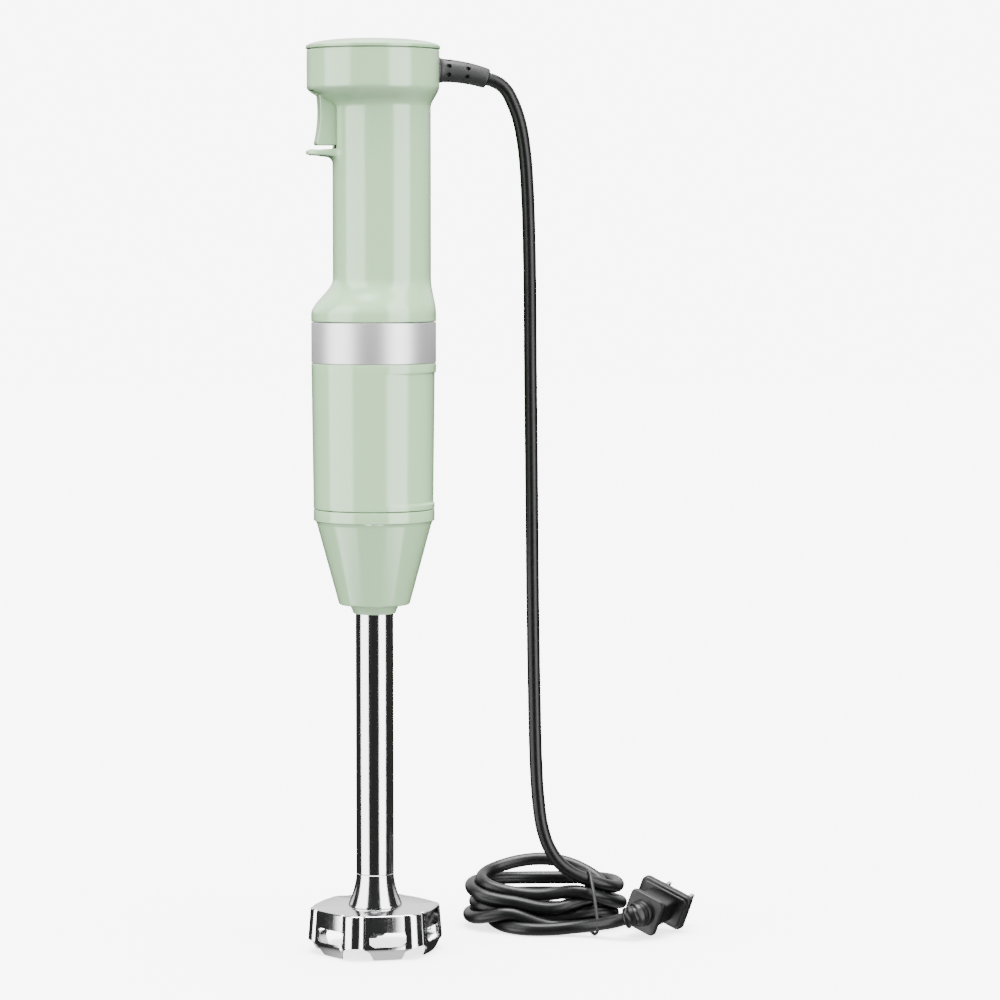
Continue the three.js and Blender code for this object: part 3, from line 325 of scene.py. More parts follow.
def rounded_block(width, height, corner, low, high, edge, sides=6):
    """A block whose plan is a rounded rectangle, drawn in by the edge radius at both ends.
    Rows run from the middle of the lower face, up the wall and to the middle of the upper one."""
    a, b = width / 2, height / 2
    plan = rounded([(-a, -b, corner), (a, -b, corner), (a, b, corner), (-a, b, corner)], sides)
    turn = np.linspace(0, math.pi / 2, 4)
    inset = np.concatenate([edge * (1 - np.sin(turn)), edge * (1 - np.cos(turn))])
    level = np.concatenate([low + edge * (1 - np.cos(turn)), high - edge * (1 - np.sin(turn))])
    share = 1 - np.stack([inset / a, inset / b], -1)
    rows = plan[None] * share[:, None]
    walls = np.concatenate([rows, np.broadcast_to(level[:, None, None], rows.shape[:2] + (1,))], -1)
    caps = [np.broadcast_to([0, 0, z], walls[:1].shape) for z in (low, high)]
    points = np.concatenate([caps[0], walls, caps[1]])
    return points, grid_faces(len(points), len(plan))


def extruded(outline, thickness):
    """A flat outline (y, z) given a thickness along X, centred on x = 0."""
    half = thickness / 2
    sides = [np.column_stack([np.full(len(outline), x), outline]) for x in (-half, half)]
    count = len(outline)
    faces = grid_faces(2, count).tolist()
    faces += [list(range(count)), list(range(2 * count - 1, count - 1, -1))]
    return np.concatenate(sides), faces


# ---- Materials -----------------------------------------------------------------------------------


class Finish:
    """A Principled material and the few nodes that its patterns are made of."""

    def __init__(self, name, **sockets):
        self.material = bpy.data.materials.new(name)
        self.material.use_nodes = True
        self.nodes = self.material.node_tree.nodes
        self.links = self.material.node_tree.links
        self.shader = self.nodes["Principled BSDF"]
        for socket, value in sockets.items():
            self.shader.inputs[socket.replace("_", " ")].default_value = value
        self.place = self.nodes.new("ShaderNodeTexCoord").outputs["Object"]

    def stretched(self, scale):
        """The object's own coordinates, scaled by axis."""
        mapping = self.nodes.new("ShaderNodeMapping")
        mapping.inputs["Scale"].default_value = scale
        self.links.new(self.place, mapping.inputs["Vector"])
        return mapping.outputs["Vector"]

    def noise(self, scale, detail=4.0, roughness=0.55, vector=None):
        """A noise pattern on the object's own coordinates, or on a stretched copy of them."""
        node = self.nodes.new("ShaderNodeTexNoise")
        node.inputs["Scale"].default_value = scale
        node.inputs["Detail"].default_value = detail
        node.inputs["Roughness"].default_value = roughness
        self.links.new(vector or self.place, node.inputs["Vector"])
        return node.outputs["Fac"]

    def ranged(self, value, low, high, start=0.3, end=0.7):
        """A pattern's values between start and end, spread from low to high."""
        node = self.nodes.new("ShaderNodeMapRange")
        limits = {"From Min": start, "From Max": end, "To Min": low, "To Max": high}
        for socket, limit in limits.items():
            node.inputs[socket].default_value = limit
        self.links.new(value, node.inputs["Value"])
        return node.outputs["Result"]

    def vary_roughness(self, value, low, high, **limits):
        self.links.new(self.ranged(value, low, high, **limits), self.shader.inputs["Roughness"])

    def vary_colour(self, value, first, second):
        node = self.nodes.new("ShaderNodeMix")
        node.data_type = "RGBA"
        node.inputs["A"].default_value = (*first, 1)
        node.inputs["B"].default_value = (*second, 1)
        self.links.new(value, node.inputs["Factor"])
        self.links.new(node.outputs["Result"], self.shader.inputs["Base Color"])

    def bump(self, value, depth, strength=1.0):
        """Relief from a pattern, depth in millimetres, on top of any relief already there."""
        node = self.nodes.new("ShaderNodeBump")
        node.inputs["Distance"].default_value = depth * MM
        node.inputs["Strength"].default_value = strength
        last = self.shader.inputs["Normal"].links
        if last:
            self.links.new(last[0].from_socket, node.inputs["Normal"])
        self.links.new(value, node.inputs["Height"])
        self.links.new(node.outputs["Normal"], self.shader.inputs["Normal"])


def shade(base, factor):
    """A colour made lighter or darker by a factor."""
    return tuple(min(1.0, channel * factor) for channel in base)


def gloss_moulding(name, colour):
    """Glossy moulded plastic: a soft flow in the colour, a faint orange peel and fine handling marks."""
    finish = Finish(name, IOR=1.56, Coat_Weight=0.6, Coat_Roughness=0.08)
    finish.vary_colour(finish.noise(18, 3), shade(colour, 0.985), shade(colour, 1.015))
    marks = finish.noise(300, 6, 0.7)
    finish.vary_roughness(marks, 0.13, 0.19)
    finish.bump(finish.noise(160, 2), 0.003, 0.15)
    return finish.material


def polished_steel(name, colour):
    """Mirror polished sheet: near black gloss with hairline wipes and a slow waviness."""
    finish = Finish(name, Metallic=1.0)
    finish.shader.inputs["Base Color"].default_value = (*colour, 1)
    wipes = finish.noise(1500, 5, 0.65, finish.stretched((1, 1, 0.06)))
    finish.vary_roughness(wipes, 0.08, 0.15)
    finish.bump(finish.noise(60, 2), 0.006, 0.15)
    return finish.material


def brushed_steel(name, colour, rough=(0.34, 0.46)):
    """Steel brushed round its axis: long thin grooves that lie level."""
    finish = Finish(name, Metallic=0.72)
    grooves = finish.noise(260, 7, 0.75, finish.stretched((0.16, 0.16, 30)))
    finish.vary_colour(grooves, shade(colour, 0.9), shade(colour, 1.06))
    finish.vary_roughness(grooves, *rough)
    finish.bump(grooves, 0.006, 0.5)
    return finish.material


def machined_metal(name, colour, rough=(0.25, 0.42), scale=700):
    """Turned or ground metal: fine lathe rings and a little grain."""
    finish = Finish(name, Metallic=1.0)
    rings = finish.noise(scale, 4, 0.6, finish.stretched((0.3, 0.3, 4)))
    finish.vary_colour(rings, shade(colour, 0.86), shade(colour, 1.08))
    finish.vary_roughness(rings, *rough)
    finish.bump(rings, 0.01, 0.5)
    return finish.material


def moulded_plastic(name, colour, rough=(0.42, 0.58), grain=1400):
    """Satin moulding with a fine spark-eroded grain."""
    finish = Finish(name, IOR=1.48)
    texture = finish.noise(grain, 3, 0.6)
    finish.vary_colour(finish.noise(40, 4), shade(colour, 0.9), shade(colour, 1.1))
    finish.vary_roughness(texture, *rough)
    finish.bump(texture, 0.01, 0.6)
    return finish.material


def vinyl(name, colour, rough=(0.3, 0.42)):
    """Extruded vinyl: satin, with a faint bloom and slight waves along the lead."""
    finish = Finish(name, IOR=1.38)
    finish.vary_colour(finish.noise(90, 5, 0.6), shade(colour, 0.8), shade(colour, 1.5))
    finish.vary_roughness(finish.noise(500, 5, 0.7), *rough)
    finish.bump(finish.noise(260, 3), 0.02, 0.5)
    return finish.material


FINISHES = {}


def make_finishes(shell, steel, lead):
    """Every material of the object, by the slot that it belongs to."""
    black = (0.02, 0.02, 0.021)
    FINISHES.update(
        pistachio_shell=gloss_moulding("pistachio_shell", shell.tint),
        brushed_band=brushed_steel("brushed_band", (0.70, 0.70, 0.71)),
        polished_steel=polished_steel("polished_steel", steel.tint),
        blade_steel=machined_metal("blade_steel", (0.16, 0.165, 0.17), (0.22, 0.36)),
        machined_steel=machined_metal("machined_steel", (0.62, 0.63, 0.64)),
        motor_steel=machined_metal("motor_steel", (0.34, 0.35, 0.36), (0.4, 0.6), 300),
        aluminium=machined_metal("aluminium", (0.72, 0.73, 0.75), (0.35, 0.5), 400),
        copper=machined_metal("copper", (0.62, 0.27, 0.12), (0.3, 0.48), 2400),
        black_plastic=moulded_plastic("black_plastic", black),
        inner_plastic=moulded_plastic("inner_plastic", (0.72, 0.70, 0.65)),
        black_rubber=moulded_plastic("black_rubber", (0.008, 0.008, 0.0085), (0.42, 0.56), 900),
        cord_vinyl=vinyl("cord_vinyl", lead.tint),
        tie_wire=moulded_plastic("tie_wire", (0.012, 0.012, 0.013), (0.36, 0.5), 1800),
        bush_bronze=machined_metal("bush_bronze", (0.5, 0.34, 0.17), (0.4, 0.6), 1600),
        board_green=moulded_plastic("board_green", (0.02, 0.13, 0.06), (0.25, 0.4), 600),
        capacitor_blue=moulded_plastic("capacitor_blue", (0.05, 0.12, 0.36), (0.25, 0.4), 500),
        lead_brown=vinyl("lead_brown", (0.12, 0.05, 0.025)),
        lead_blue=vinyl("lead_blue", (0.02, 0.06, 0.3)),
    )


# ---- Shells --------------------------------------------------------------------------------------


def ease(t):
    """A step from 0 to 1 with level ends: three t squared less two t cubed."""
    t = np.clip(t, 0, 1)
    return t * t * (3 - 2 * t)


class ShellForm:
    """Section radius and backward shift of the upper shell at a height."""

    def __init__(self, shell):
        self.grip_r, self.shift_full = shell.grip_radius / MM, shell.grip_shift / MM
        self.shoulder, self.grip = Z_SHELL + 3.5, Z_SHELL + 19.5
        self.grip_top, self.head = Z_HEAD_TOP - 25.6, Z_HEAD_TOP - 16.1

    def radius(self, z):
        """Body radius, eased to the grip's over the shoulder and to the head's under the head."""
        low = BODY_R + (self.grip_r - BODY_R) * ease((z - self.shoulder) / (self.grip - self.shoulder))
        return low + (HEAD_R - self.grip_r) * ease((z - self.grip_top) / (self.head - self.grip_top))

    def shift(self, z):
        """Nothing at the body and the head, eased to the full shift along the grip."""
        up = ease((z - self.shoulder) / (self.grip - self.shoulder))
        down = ease((z - self.grip_top) / (self.head - self.grip_top))
        return self.shift_full * (up - down)


SLOT_GAP = 0.5
SLOT_GAP_FOOT = 1.5
SLOT_TOP_UNDER_HEAD = 2.3
LEDGE_HALF = 8.2
HEAD_DROP_FRONT = 0.5
FRONT_ANGLE = math.radians(42)


def upper_shell_parts(shell):
    """The shell's outside as a grid of heights and angles. Angles are closer at the front, and near
    the trigger slot they are stretched so that two columns follow its straight sides. Below the slot
    the rows are drawn out into the finger ledge: its side outline, times its plan's half ellipse."""
    form = ShellForm(shell)
    slot_low = Z_TRIGGER_FOOT - SLOT_GAP_FOOT
    slot_high = form.head - SLOT_TOP_UNDER_HEAD
    slot_half = TRIGGER_HALF + SLOT_GAP

    # the ledge's side outline: how far out and how high
    far = LEDGE_REACH - (form.grip_r - form.shift_full)
    corners = [
        (0, slot_low - 12),
        (0, slot_low - 4, 3.4),
        (far, slot_low - 2.6, 0.9),
        (far, slot_low - 0.7, 0.9),
        (0.4, slot_low),
    ]
    side = rounded(corners, steps=8, closed=False)
    side = np.column_stack([side, 0 * side[:, 0]])
    side = even_route(side, 0.55)[:, :2]

    edge = shell.edge / MM
    lip = np.array([0.0, 0.15, 0.5, 1.0]) * edge
    low = Z_SHELL + SEAM_GAP
    rows_below = np.concatenate([
        low + lip,
        np.linspace(low + 1, form.shoulder, 3),
        np.linspace(form.shoulder, form.grip, 26)[1:],
        np.linspace(form.grip, side[0, 1], 24)[1:-1],
    ])
    rows_above = np.concatenate([
        np.linspace(slot_low, form.grip_top, 10)[1:],
        np.linspace(form.grip_top, slot_high, 20)[1:],
        np.linspace(slot_high, form.head, 6)[1:],
        np.linspace(form.head, Z_HEAD_TOP - 1, 8)[1:],
        Z_HEAD_TOP - lip[::-1],
    ])
    base = np.concatenate([rows_below, side[:, 1], rows_above])
    out = np.concatenate([0 * rows_below, side[:, 0], 0 * rows_above])

    slot_angle = math.asin(slot_half / form.grip_r)
    inner = np.linspace(-slot_angle, slot_angle, 27)
    beside = np.linspace(slot_angle, FRONT_ANGLE, 22)[1:]
    around = np.linspace(FRONT_ANGLE, 2 * math.pi - FRONT_ANGLE, 112)[1:-1]
    angle = np.concatenate([inner, beside, around, -beside[::-1]])
    angle = np.where(angle > math.pi, angle - 2 * math.pi, angle)

    # at the front the head's wall reaches further down before it turns in
    front = np.clip(np.cos(angle), 0, 1) ** 2
    level = base[:, None] + HEAD_DROP_FRONT * front[None] * (base > slot_low)[:, None]
    radius = form.radius(level)
    trim = np.minimum(base - low, Z_HEAD_TOP - base)
    drawn_in = np.where(trim < edge, edge - np.sqrt(np.clip(edge**2 - (edge - trim) ** 2, 0, None)), 0)
    fade = 1 - ease((np.abs(angle) - slot_angle) / math.radians(40))
    stretch = np.arcsin(slot_half / radius) / slot_angle - 1
    turned = angle[None] * (1 + stretch * fade[None])
    shown = radius - drawn_in[:, None]
    x = shown * np.sin(turned)
    y = -shown * np.cos(turned) + form.shift(level)
    plan = np.clip(1 - (np.abs(x) / LEDGE_HALF) ** 2.6, 0, 1) ** 0.62
    plan = np.where(np.abs(turned) < 1, plan, 0)
    y = y - plan * out[:, None]
    z = np.broadcast_to(base[:, None], y.shape)
    points = np.stack([x, y, z], -1)

    faces = grid_faces(len(base), len(angle))
    row, column = faces[:, 0] // len(angle), faces[:, 0] % len(angle)
    middle = (base[row] + base[np.minimum(row + 1, len(base) - 1)]) / 2
    slot = (column < len(inner) - 1) & (middle > slot_low) & (middle < slot_high)
    return points, faces[~slot]


def build_upper_shell(shell):
    """Grip and head in one moulding, with the trigger's slot and the finger ledge."""
    points, faces = upper_shell_parts(shell)
    parts = [(points, faces)]
    piece = make_piece("grip_and_head_shell", parts, "pistachio_shell", "motor_body", ["upper_shell"], 60)
    outward(piece)
    thick = piece.modifiers.new("wall", "SOLIDIFY")
    thick.thickness = shell.wall
    thick.offset = -1


def outward(piece):
    """Turns an open shell's faces away from the Z axis."""
    mesh = piece.data
    centres = np.empty(len(mesh.polygons) * 3)
    normals = np.empty_like(centres)
    mesh.polygons.foreach_get("center", centres)
    mesh.polygons.foreach_get("normal", normals)
    if (centres.reshape(-1, 3)[:, :2] * normals.reshape(-1, 3)[:, :2]).sum() < 0:
        mesh.flip_normals()


def build_top_cap(shell):
    """A low dome: its height falls off as a power of the radius, over a short upright rim."""
    low = Z_HEAD_TOP + SEAM_GAP
    rim = low + 1.3
    share = np.linspace(0, 1, 26) ** 0.6
    height = rim + (Z_CAP_TOP - rim) * (1 - share**2.6) ** 0.58
    dome = np.stack([share * (CAP_R - 0.05), height], -1)[::-1]
    skirt = HEAD_R - shell.wall / MM - SEAM_GAP
    corners = [
        (CAP_R, rim),
        (CAP_R, low, shell.edge / MM),
        (skirt, low),
        (skirt, low - 2.2, 0.3),
        (skirt - 2, low - 2.2, 0.3),
        (skirt - 2, low + 1),
        (0, low + 1),
    ]
    foot = rounded(corners, closed=False)
    outline = np.concatenate([foot[::-1], dome[:1] + [[0.05, 0]], dome])
    make_piece("head_cap", [revolve(outline)], "pistachio_shell", "motor_body", ["top_cap"], 50)


RECESS_DEPTH = 0.6
RECESS_STEP = 0.6


def build_sleeve(shell):
    """A tapered sleeve. At the back its skin lies deeper by the recess depth times the cosine of the
    angle from the back, between two levels, with a steep step at each."""
    low, high = Z_BODY + 2.4, Z_BAND - 4.1
    bore, edge = SEAM_R - shell.wall / MM, shell.edge / MM
    groove = BODY_R - 0.8
    top = Z_BAND - SEAM_GAP
    steps = np.array([0, 0.12, 0.3, 0.6, 1.2])
    levels = np.concatenate([low + steps, np.linspace(low + 4, high - 4, 10), high - steps[::-1]])
    wall = np.stack([SEAM_R + (BODY_R - SEAM_R) * (levels - Z_BODY) / (top - Z_BODY), levels], -1)
    foot_corners = [
        (bore, Z_BODY + 1),
        (bore, Z_BODY, 0.3),
        (SEAM_R, Z_BODY, edge),
        (SEAM_R + 0.03, low - 0.8),
    ]
    head_corners = [
        (BODY_R - 0.05, high + 0.8),
        (BODY_R, top, edge),
        (groove, top),
        (groove, Z_SHELL - 0.05),
        (bore, Z_SHELL - 0.05),
        (bore, Z_SHELL - 2),
    ]
    foot = rounded(foot_corners, closed=False)
    head = rounded(head_corners, closed=False)
    outline = np.concatenate([foot, wall, head])
    points, faces = revolve(outline, 180)
    radius = np.hypot(points[..., 0], points[..., 1])
    height = points[..., 2]
    step = ease((height - low) / RECESS_STEP) * ease((high - height) / RECESS_STEP)
    back = np.clip(points[..., 1] / radius, 0, 1) ** 0.8
    less = 1 - RECESS_DEPTH * step * back * (radius > bore + 0.5) / radius
    points[..., 0] *= less
    points[..., 1] *= less
    parts = [(points, faces)]
    make_piece("motor_sleeve_shell", parts, "pistachio_shell", "motor_body", ["motor_sleeve"], 50)


def build_band():
    """A thin band whose edges are turned in a little."""
    inner = BODY_R - 0.5
    outline = rounded([
        (inner, Z_BAND, 0.1),
        (BODY_R, Z_BAND, 0.25),
        (BODY_R, Z_SHELL, 0.25),
        (inner, Z_SHELL, 0.1),
    ])
    make_piece("brushed_trim_band", [revolve(outline, 192)], "brushed_band", "motor_body", ["trim_band"])


def build_arm_cone(shell):
    """The blending arm's moulded top, turned from one outline: neck, cone with its groove and collar,
    spigot, and the inside."""
    lip, collar, groove = Z_NECK + 4.1, Z_SEAM - 5, 0.55
    cone_top, inner_floor = collar - 1.6, Z_NECK + 7
    neck_r, tip_r, spigot_r, wall = TUBE_R + 2.5, 16, 20.6, shell.wall / MM
    bore = TUBE_R + SEAM_GAP
    neck = [
        (bore, Z_NECK, 0.2),
        (neck_r - 1.6, Z_NECK, 0.4),
        (neck_r, lip - 0.5, 0.3),
        (neck_r + 0.2, lip, 0.2),
    ]
    cone = [
        (tip_r - 0.1, lip, 1.2),
        (SEAM_R - 1.4, cone_top, 1.5),
        (SEAM_R - groove - 0.35, collar - 0.5, 0.3),
        (SEAM_R - groove, collar - 0.15, 0.1),
        (SEAM_R, collar, 0.3),
        (SEAM_R, Z_SEAM, 0.4),
    ]
    spigot = [
        (spigot_r, Z_SEAM, 0.3),
        (spigot_r, Z_SPIGOT, 0.5),
        (spigot_r - wall, Z_SPIGOT, 0.5),
        (spigot_r - wall, Z_SEAM - wall, 0.4),
    ]
    inside = [
        (SEAM_R - wall - 1.6, Z_SEAM - wall, 0.5),
        (SEAM_R - 1.4 - wall, cone_top, 1),
        (tip_r - wall, inner_floor, 0.4),
        (bore, inner_floor),
    ]
    outline = rounded(neck + cone + spigot + inside, steps=5)
    parts = [revolve(outline, 180)]
    make_piece("arm_cone_shell", parts, "pistachio_shell", "blending_arm", ["arm_cone"], 50)


TRIGGER_FRONT = -25.7
KNUCKLE_R = 3.2


def build_trigger():
    """A concave finger lever: its side outline given a thickness and rounded along every edge. The
    front is one hollow curve from the foot to the top, and the knuckle is a half circle."""
    front, back = TRIGGER_FRONT, reach("trigger", 1) - 0.3
    foot, top = Z_TRIGGER_FOOT, Z_PIVOT - 2.7
    tip = front - 0.4
    t = np.linspace(0, 1, 18)[1:-1, None]
    low = np.array([tip, foot + 1.5])
    middle = np.array([front + 2.6, (foot + top) / 2])
    high = np.array([front, top])
    hollow = (1 - t) ** 2 * low + 2 * t * (1 - t) * middle + t**2 * high
    turn = np.linspace(math.pi, 0, 12)
    knuckle = np.stack([PIVOT_Y + KNUCKLE_R * np.cos(turn), Z_PIVOT + KNUCKLE_R * np.sin(turn)], -1)
    heel_corners = [(back, foot + 4), (back, foot, 0.8), (tip, foot, 1.1), (tip, foot + 1.5)]
    heel = rounded(heel_corners, closed=False)
    before = [[front, top], [PIVOT_Y - KNUCKLE_R, Z_PIVOT - 0.5]]
    after = [[PIVOT_Y + KNUCKLE_R, top], [back, top]]
    outline = np.concatenate([heel, hollow, before, knuckle, after])
    parts = [extruded(outline, 2 * TRIGGER_HALF)]
    piece = make_piece("finger_trigger", parts, "pistachio_shell", "trigger", ["trigger"], 40)
    bevel(piece, 0.9, 3, 50)


# ---- Steelwork -----------------------------------------------------------------------------------


def build_tube():
    """The plain tube and its flared foot, whose radius grows as a power of the way down."""
    inner = TUBE_R - 1.2
    weld = reach("tube_flare", 2)
    foot = reach("tube_flare", 2, high=False)
    top = reach("arm_tube", 2)
    low = weld + SEAM_GAP
    pipe = rounded([(inner, low), (TUBE_R, low, 0.12), (TUBE_R, top, 0.3), (inner, top, 0.3)])
    make_piece("blending_tube", [revolve(pipe, 128)], "polished_steel", "blending_arm", ["arm_tube"])
    t = np.linspace(0, 1, 30)
    curve = np.stack([TUBE_R + (FLARE_R - TUBE_R) * (1 - t) ** 1.7, foot + (weld - foot) * t], -1)
    under = [[inner, foot - 0.6], [FLARE_R - 0.3, foot - 0.6], [FLARE_R, foot - 0.35]]
    over = [[TUBE_R - 0.12, weld + 0.12], [inner, weld + 0.12]]
    flare = np.concatenate([under, curve, over])
    make_piece("tube_foot", [revolve(flare, 128)], "polished_steel", "blending_arm", ["tube_flare"])


BELL_TOP_R = 30.0
BELL_EDGE_R = 31.2
FOOT_HEIGHT = 5.8
TAB_LEAN = 2.6
WINDOW_TURN = math.radians(3)
FLAT_BULGE = 0.32
CUTTER_DEPTH = 24


def hexagon(points, corner):
    """Draws a round surface in to a hexagon with rounded corners, the first corner on +Y.
    A flat's distance is cos 30 over the cosine of the angle from its middle; a corner is a circle."""
    x, y = points[..., 0], points[..., 1]
    sector = math.pi / 3
    angle = np.arctan2(x, y)
    away = np.abs(angle - sector * np.round(angle / sector))
    flat = math.cos(math.pi / 6) / np.cos(math.pi / 6 - away)
    centre = 1 - corner / math.cos(math.pi / 6)
    under = corner**2 - (centre * np.sin(away)) ** 2
    arc = centre * np.cos(away) + np.sqrt(np.clip(under, 0, None))
    share = np.where(under > 0, np.minimum(flat, arc), flat)
    share = share + FLAT_BULGE * (1 - share)
    share = np.where(np.hypot(x, y) > TUBE_R, share, 1)
    return points * np.stack([share, share, np.ones_like(share)], -1)


def bell_cutters(steel):
    """A window in each flat, and an arch under each corner that leaves a foot under each flat."""
    half, low = steel.window_width / MM / 2, FOOT_HEIGHT + 0.4
    top = low + steel.window_height / MM
    window = rounded([
        (-half + 2.2, low, 0.8),
        (half - 2.2, low, 0.8),
        (half, low + 1.5, 1),
        (half, top, 2.2),
        (-half, top, 2.2),
        (-half, low + 1.5, 1),
    ], steps=6)
    foot_side, neck_side = 7.4, 6.4
    arch = rounded([
        (-foot_side, -3),
        (foot_side, -3),
        (foot_side, -0.5),
        (neck_side, 4.2, 3),
        (2.5, FOOT_HEIGHT, 4),
        (-2.5, FOOT_HEIGHT, 4),
        (-neck_side, 4.2, 3),
        (-foot_side, -0.5),
    ], steps=6)
    parts = []
    for i in range(6):
        for outline, inner, place in ((window, 18, i), (arch, 14, i + 0.5)):
            points, faces = extruded(outline, CUTTER_DEPTH)
            turn = math.pi / 3 * place + WINDOW_TURN
            cos, sin = math.cos(turn), math.sin(turn)
            x, y, z = (points + [inner + CUTTER_DEPTH / 2, 0, 0]).T
            parts.append((np.stack([x * cos - y * sin, x * sin + y * cos, z], -1), faces))
    return parts


def build_bell(steel):
    """A pressed six-sided cup: its rounded top edge, leaning sides, and feet that turn in to the
    floor as a power of the way down. The inside is the same outline, moved in by the sheet."""
    bore = 5.2
    reach_in = 1 / math.cos(math.pi / 6)

    def skin(inset):
        lean = np.linspace(0, 1, 7)[1:]
        feet = np.stack([BELL_EDGE_R - TAB_LEAN * reach_in * lean**1.5, FOOT_HEIGHT * (1 - lean)], -1)
        corners = [(bore, Z_BELL), (BELL_TOP_R, Z_BELL, 1.1), (BELL_EDGE_R, FOOT_HEIGHT)]
        top = rounded(corners, steps=5, closed=False)[:-1]
        edge = [[BELL_EDGE_R - 0.4, FOOT_HEIGHT + 5], [BELL_EDGE_R, FOOT_HEIGHT]]
        side = np.concatenate([top, edge, feet])
        inward = np.array([inset * reach_in, 0]) * (side[:, :1] > bore + 1)
        down = np.array([0, inset]) * (side[:, 1:] > Z_BELL - 0.6)
        return side - inward - down

    outside, inside = skin(0)[::-1], skin(steel.wall / MM)
    points, faces = revolve(np.concatenate([outside, inside]), 240)
    points = hexagon(points, steel.corner / MM / BELL_TOP_R)
    parts = [(points, faces)]
    piece = make_piece("bell_cup", parts, "polished_steel", "blending_arm", ["bell_guard"], 30)
    cutter = bpy.data.objects.new("bell_cutter", merged_mesh("bell_cutter", bell_cutters(steel)))
    bpy.context.scene.collection.objects.link(cutter)
    cut = piece.modifiers.new("cut", "BOOLEAN")
    cut.operation, cut.solver, cut.object = "DIFFERENCE", "EXACT", cutter
    bake(piece, 30)
    bpy.data.objects.remove(cutter)
    bevel(piece, 0.14, 2, 40)


# ---- Mains lead ----------------------------------------------------------------------------------

# Straight out of the boot, over in one bend, down beside the body and onto the coil.
LEAD_DROP = [
    [51.15, 9.94, 393.2],
    [54.5, 10.6, 392.05],
    [58.2, 11.3, 389.7],
    [61.8, 12.2, 383.9],
    [65.2, 14, 374.9],
    [67.6, 17, 361.6],
    [69, 19, 343.6],
    [70, 23, 312],
    [70.5, 27, 264.2],
    [71.1, 31, 211.4],
    [71.7, 36, 155.6],
    [72.5, 38.5, 108.9],
    [73.3, 39.6, 78.8],
    [74.4, 40.2, 61.9],
    [76.5, 40.6, 47.8],
    [80.7, 41, 36.9],
    [86.9, 41.8, 29.1],
    [93.8, 43.6, 24.2],
]
# From the coil's front into the plug's boot.
LEAD_TAIL = [
    [97.2, 28.2, 5.2],
    [101.4, 26.3, 6.2],
    [105.5, 23.9, 7.2],
    [109.6, 22.15, 8.4],
    [113.75, 21.28, 9.76],
]
# Each turn of the coil, anticlockwise from the tie: (right end, back, left end, front) as (along or
# across, height) pairs.
TURNS = [
    ((111.5, 19.5), (84, 17.5), (43.5, 19.5), (39.5, 11)),
    ((107, 16), (77, 28), (46.5, 21), (44, 16.5)),
    ((114, 10.5), (86, 10), (45, 11), (41, 5)),
    ((109, 5.5), (80, 4), (41.5, 6), (37, 3.5)),
    ((106, 4), (68, 3.2), (53, 3.5), (29.5, 3.2)),
]
COIL_MIDDLE = (77.0, 57.0)
COIL_LEAN = 0.05


def coil_route(turns):
    """Each turn is an ellipse-like loop through its right end, back, left end and front, in that
    order: the cosine of the angle moves along the coil and the sine moves across it, each scaled to
    that quarter's reach, while the height passes smoothly from one quarter's to the next's."""
    middle_u, middle_v = COIL_MIDDLE
    quarters = np.array([pair for turn in TURNS[:turns] for pair in turn])
    angle = np.arange(len(quarters)) * math.pi / 2
    fine = np.arange(-0.35 * math.pi / 2, angle[-1] + 0.45, math.radians(9))
    reach_u = np.interp(fine, angle[0::2], np.abs(quarters[0::2, 0] - middle_u))
    reach_v = np.interp(fine, angle[1::2], np.abs(quarters[1::2, 0] - middle_v))
    t = np.clip(fine / (math.pi / 2), 0, len(quarters) - 1)
    i = np.minimum(t.astype(int), len(quarters) - 2)
    height = quarters[i, 1] + (quarters[i + 1, 1] - quarters[i, 1]) * ease(t - i)
    lean = 1.0 + COIL_LEAN * np.sin(2 * fine) ** 2
    u = middle_u + reach_u * np.cos(fine) * lean
    v = middle_v + reach_v * np.sin(fine) * lean
    return np.stack([u, v, height], -1)


# How the coil settles: the room a strand takes in diameters, the share of an overlap undone in a
# round, the farthest that a point moves in a round, and how strongly bends relax.
STRAND_ROOM = 1.01
PUSH = 0.35
FARTHEST_MOVE = 0.6
RELAX = 0.2


def settle(route, diameter, held, rounds):
    """Lets the coil find its rest: strands that overlap push each other apart, the change of bend
    from point to point relaxes, nothing sinks below the floor, and the held points stay."""
    room = diameter * STRAND_ROOM
    apart = max(3, int(2.6 * diameter / np.linalg.norm(route[1] - route[0])))
    number = np.arange(len(route))
    strangers = np.abs(number[:, None] - number[None]) > apart
    free = ~held
    for _ in range(rounds):
        gap = route[:, None] - route[None]
        far = np.linalg.norm(gap, axis=2)
        push = np.where(strangers & (far < room), room - far, 0)
        move = (gap / np.maximum(far, 1e-6)[..., None] * push[..., None] * PUSH).sum(1)
        move = np.clip(move, -FARTHEST_MOVE, FARTHEST_MOVE)
        bend = np.zeros_like(route)
        bend[2:-2] = (route[1:-3] + route[3:-1]) / 2 - route[2:-2]
        wide = np.zeros_like(route)
        wide[4:-4] = (bend[3:-5] + bend[5:-3]) / 2 - bend[4:-4]
        route = route + (move - RELAX * wide) * free[:, None]
        route[:, 2] = np.maximum(route[:, 2], diameter / 2)
    return route


ROUTE_STEP = 2.0


def lead_route(lead):
    """The whole lead: the drop, the settled coil and the tail. It settles first in long steps and
    then in shorter ones, between the end of the drop and the start of the tail."""
    diameter = lead.diameter / MM
    route = smooth_route(np.concatenate([LEAD_DROP, coil_route(lead.turns), LEAD_TAIL]), ROUTE_STEP)
    for step, rounds in ((5.0, 60), (3.0, 120)):
        route = smooth_route(route, step)
        first = np.linalg.norm(route - LEAD_DROP[-3], axis=1).argmin()
        last = np.linalg.norm(route - LEAD_TAIL[1], axis=1).argmin()
        number = np.arange(len(route))
        route = settle(route, diameter, (number < first) | (number > last), rounds)
    return smooth_route(route, ROUTE_STEP)


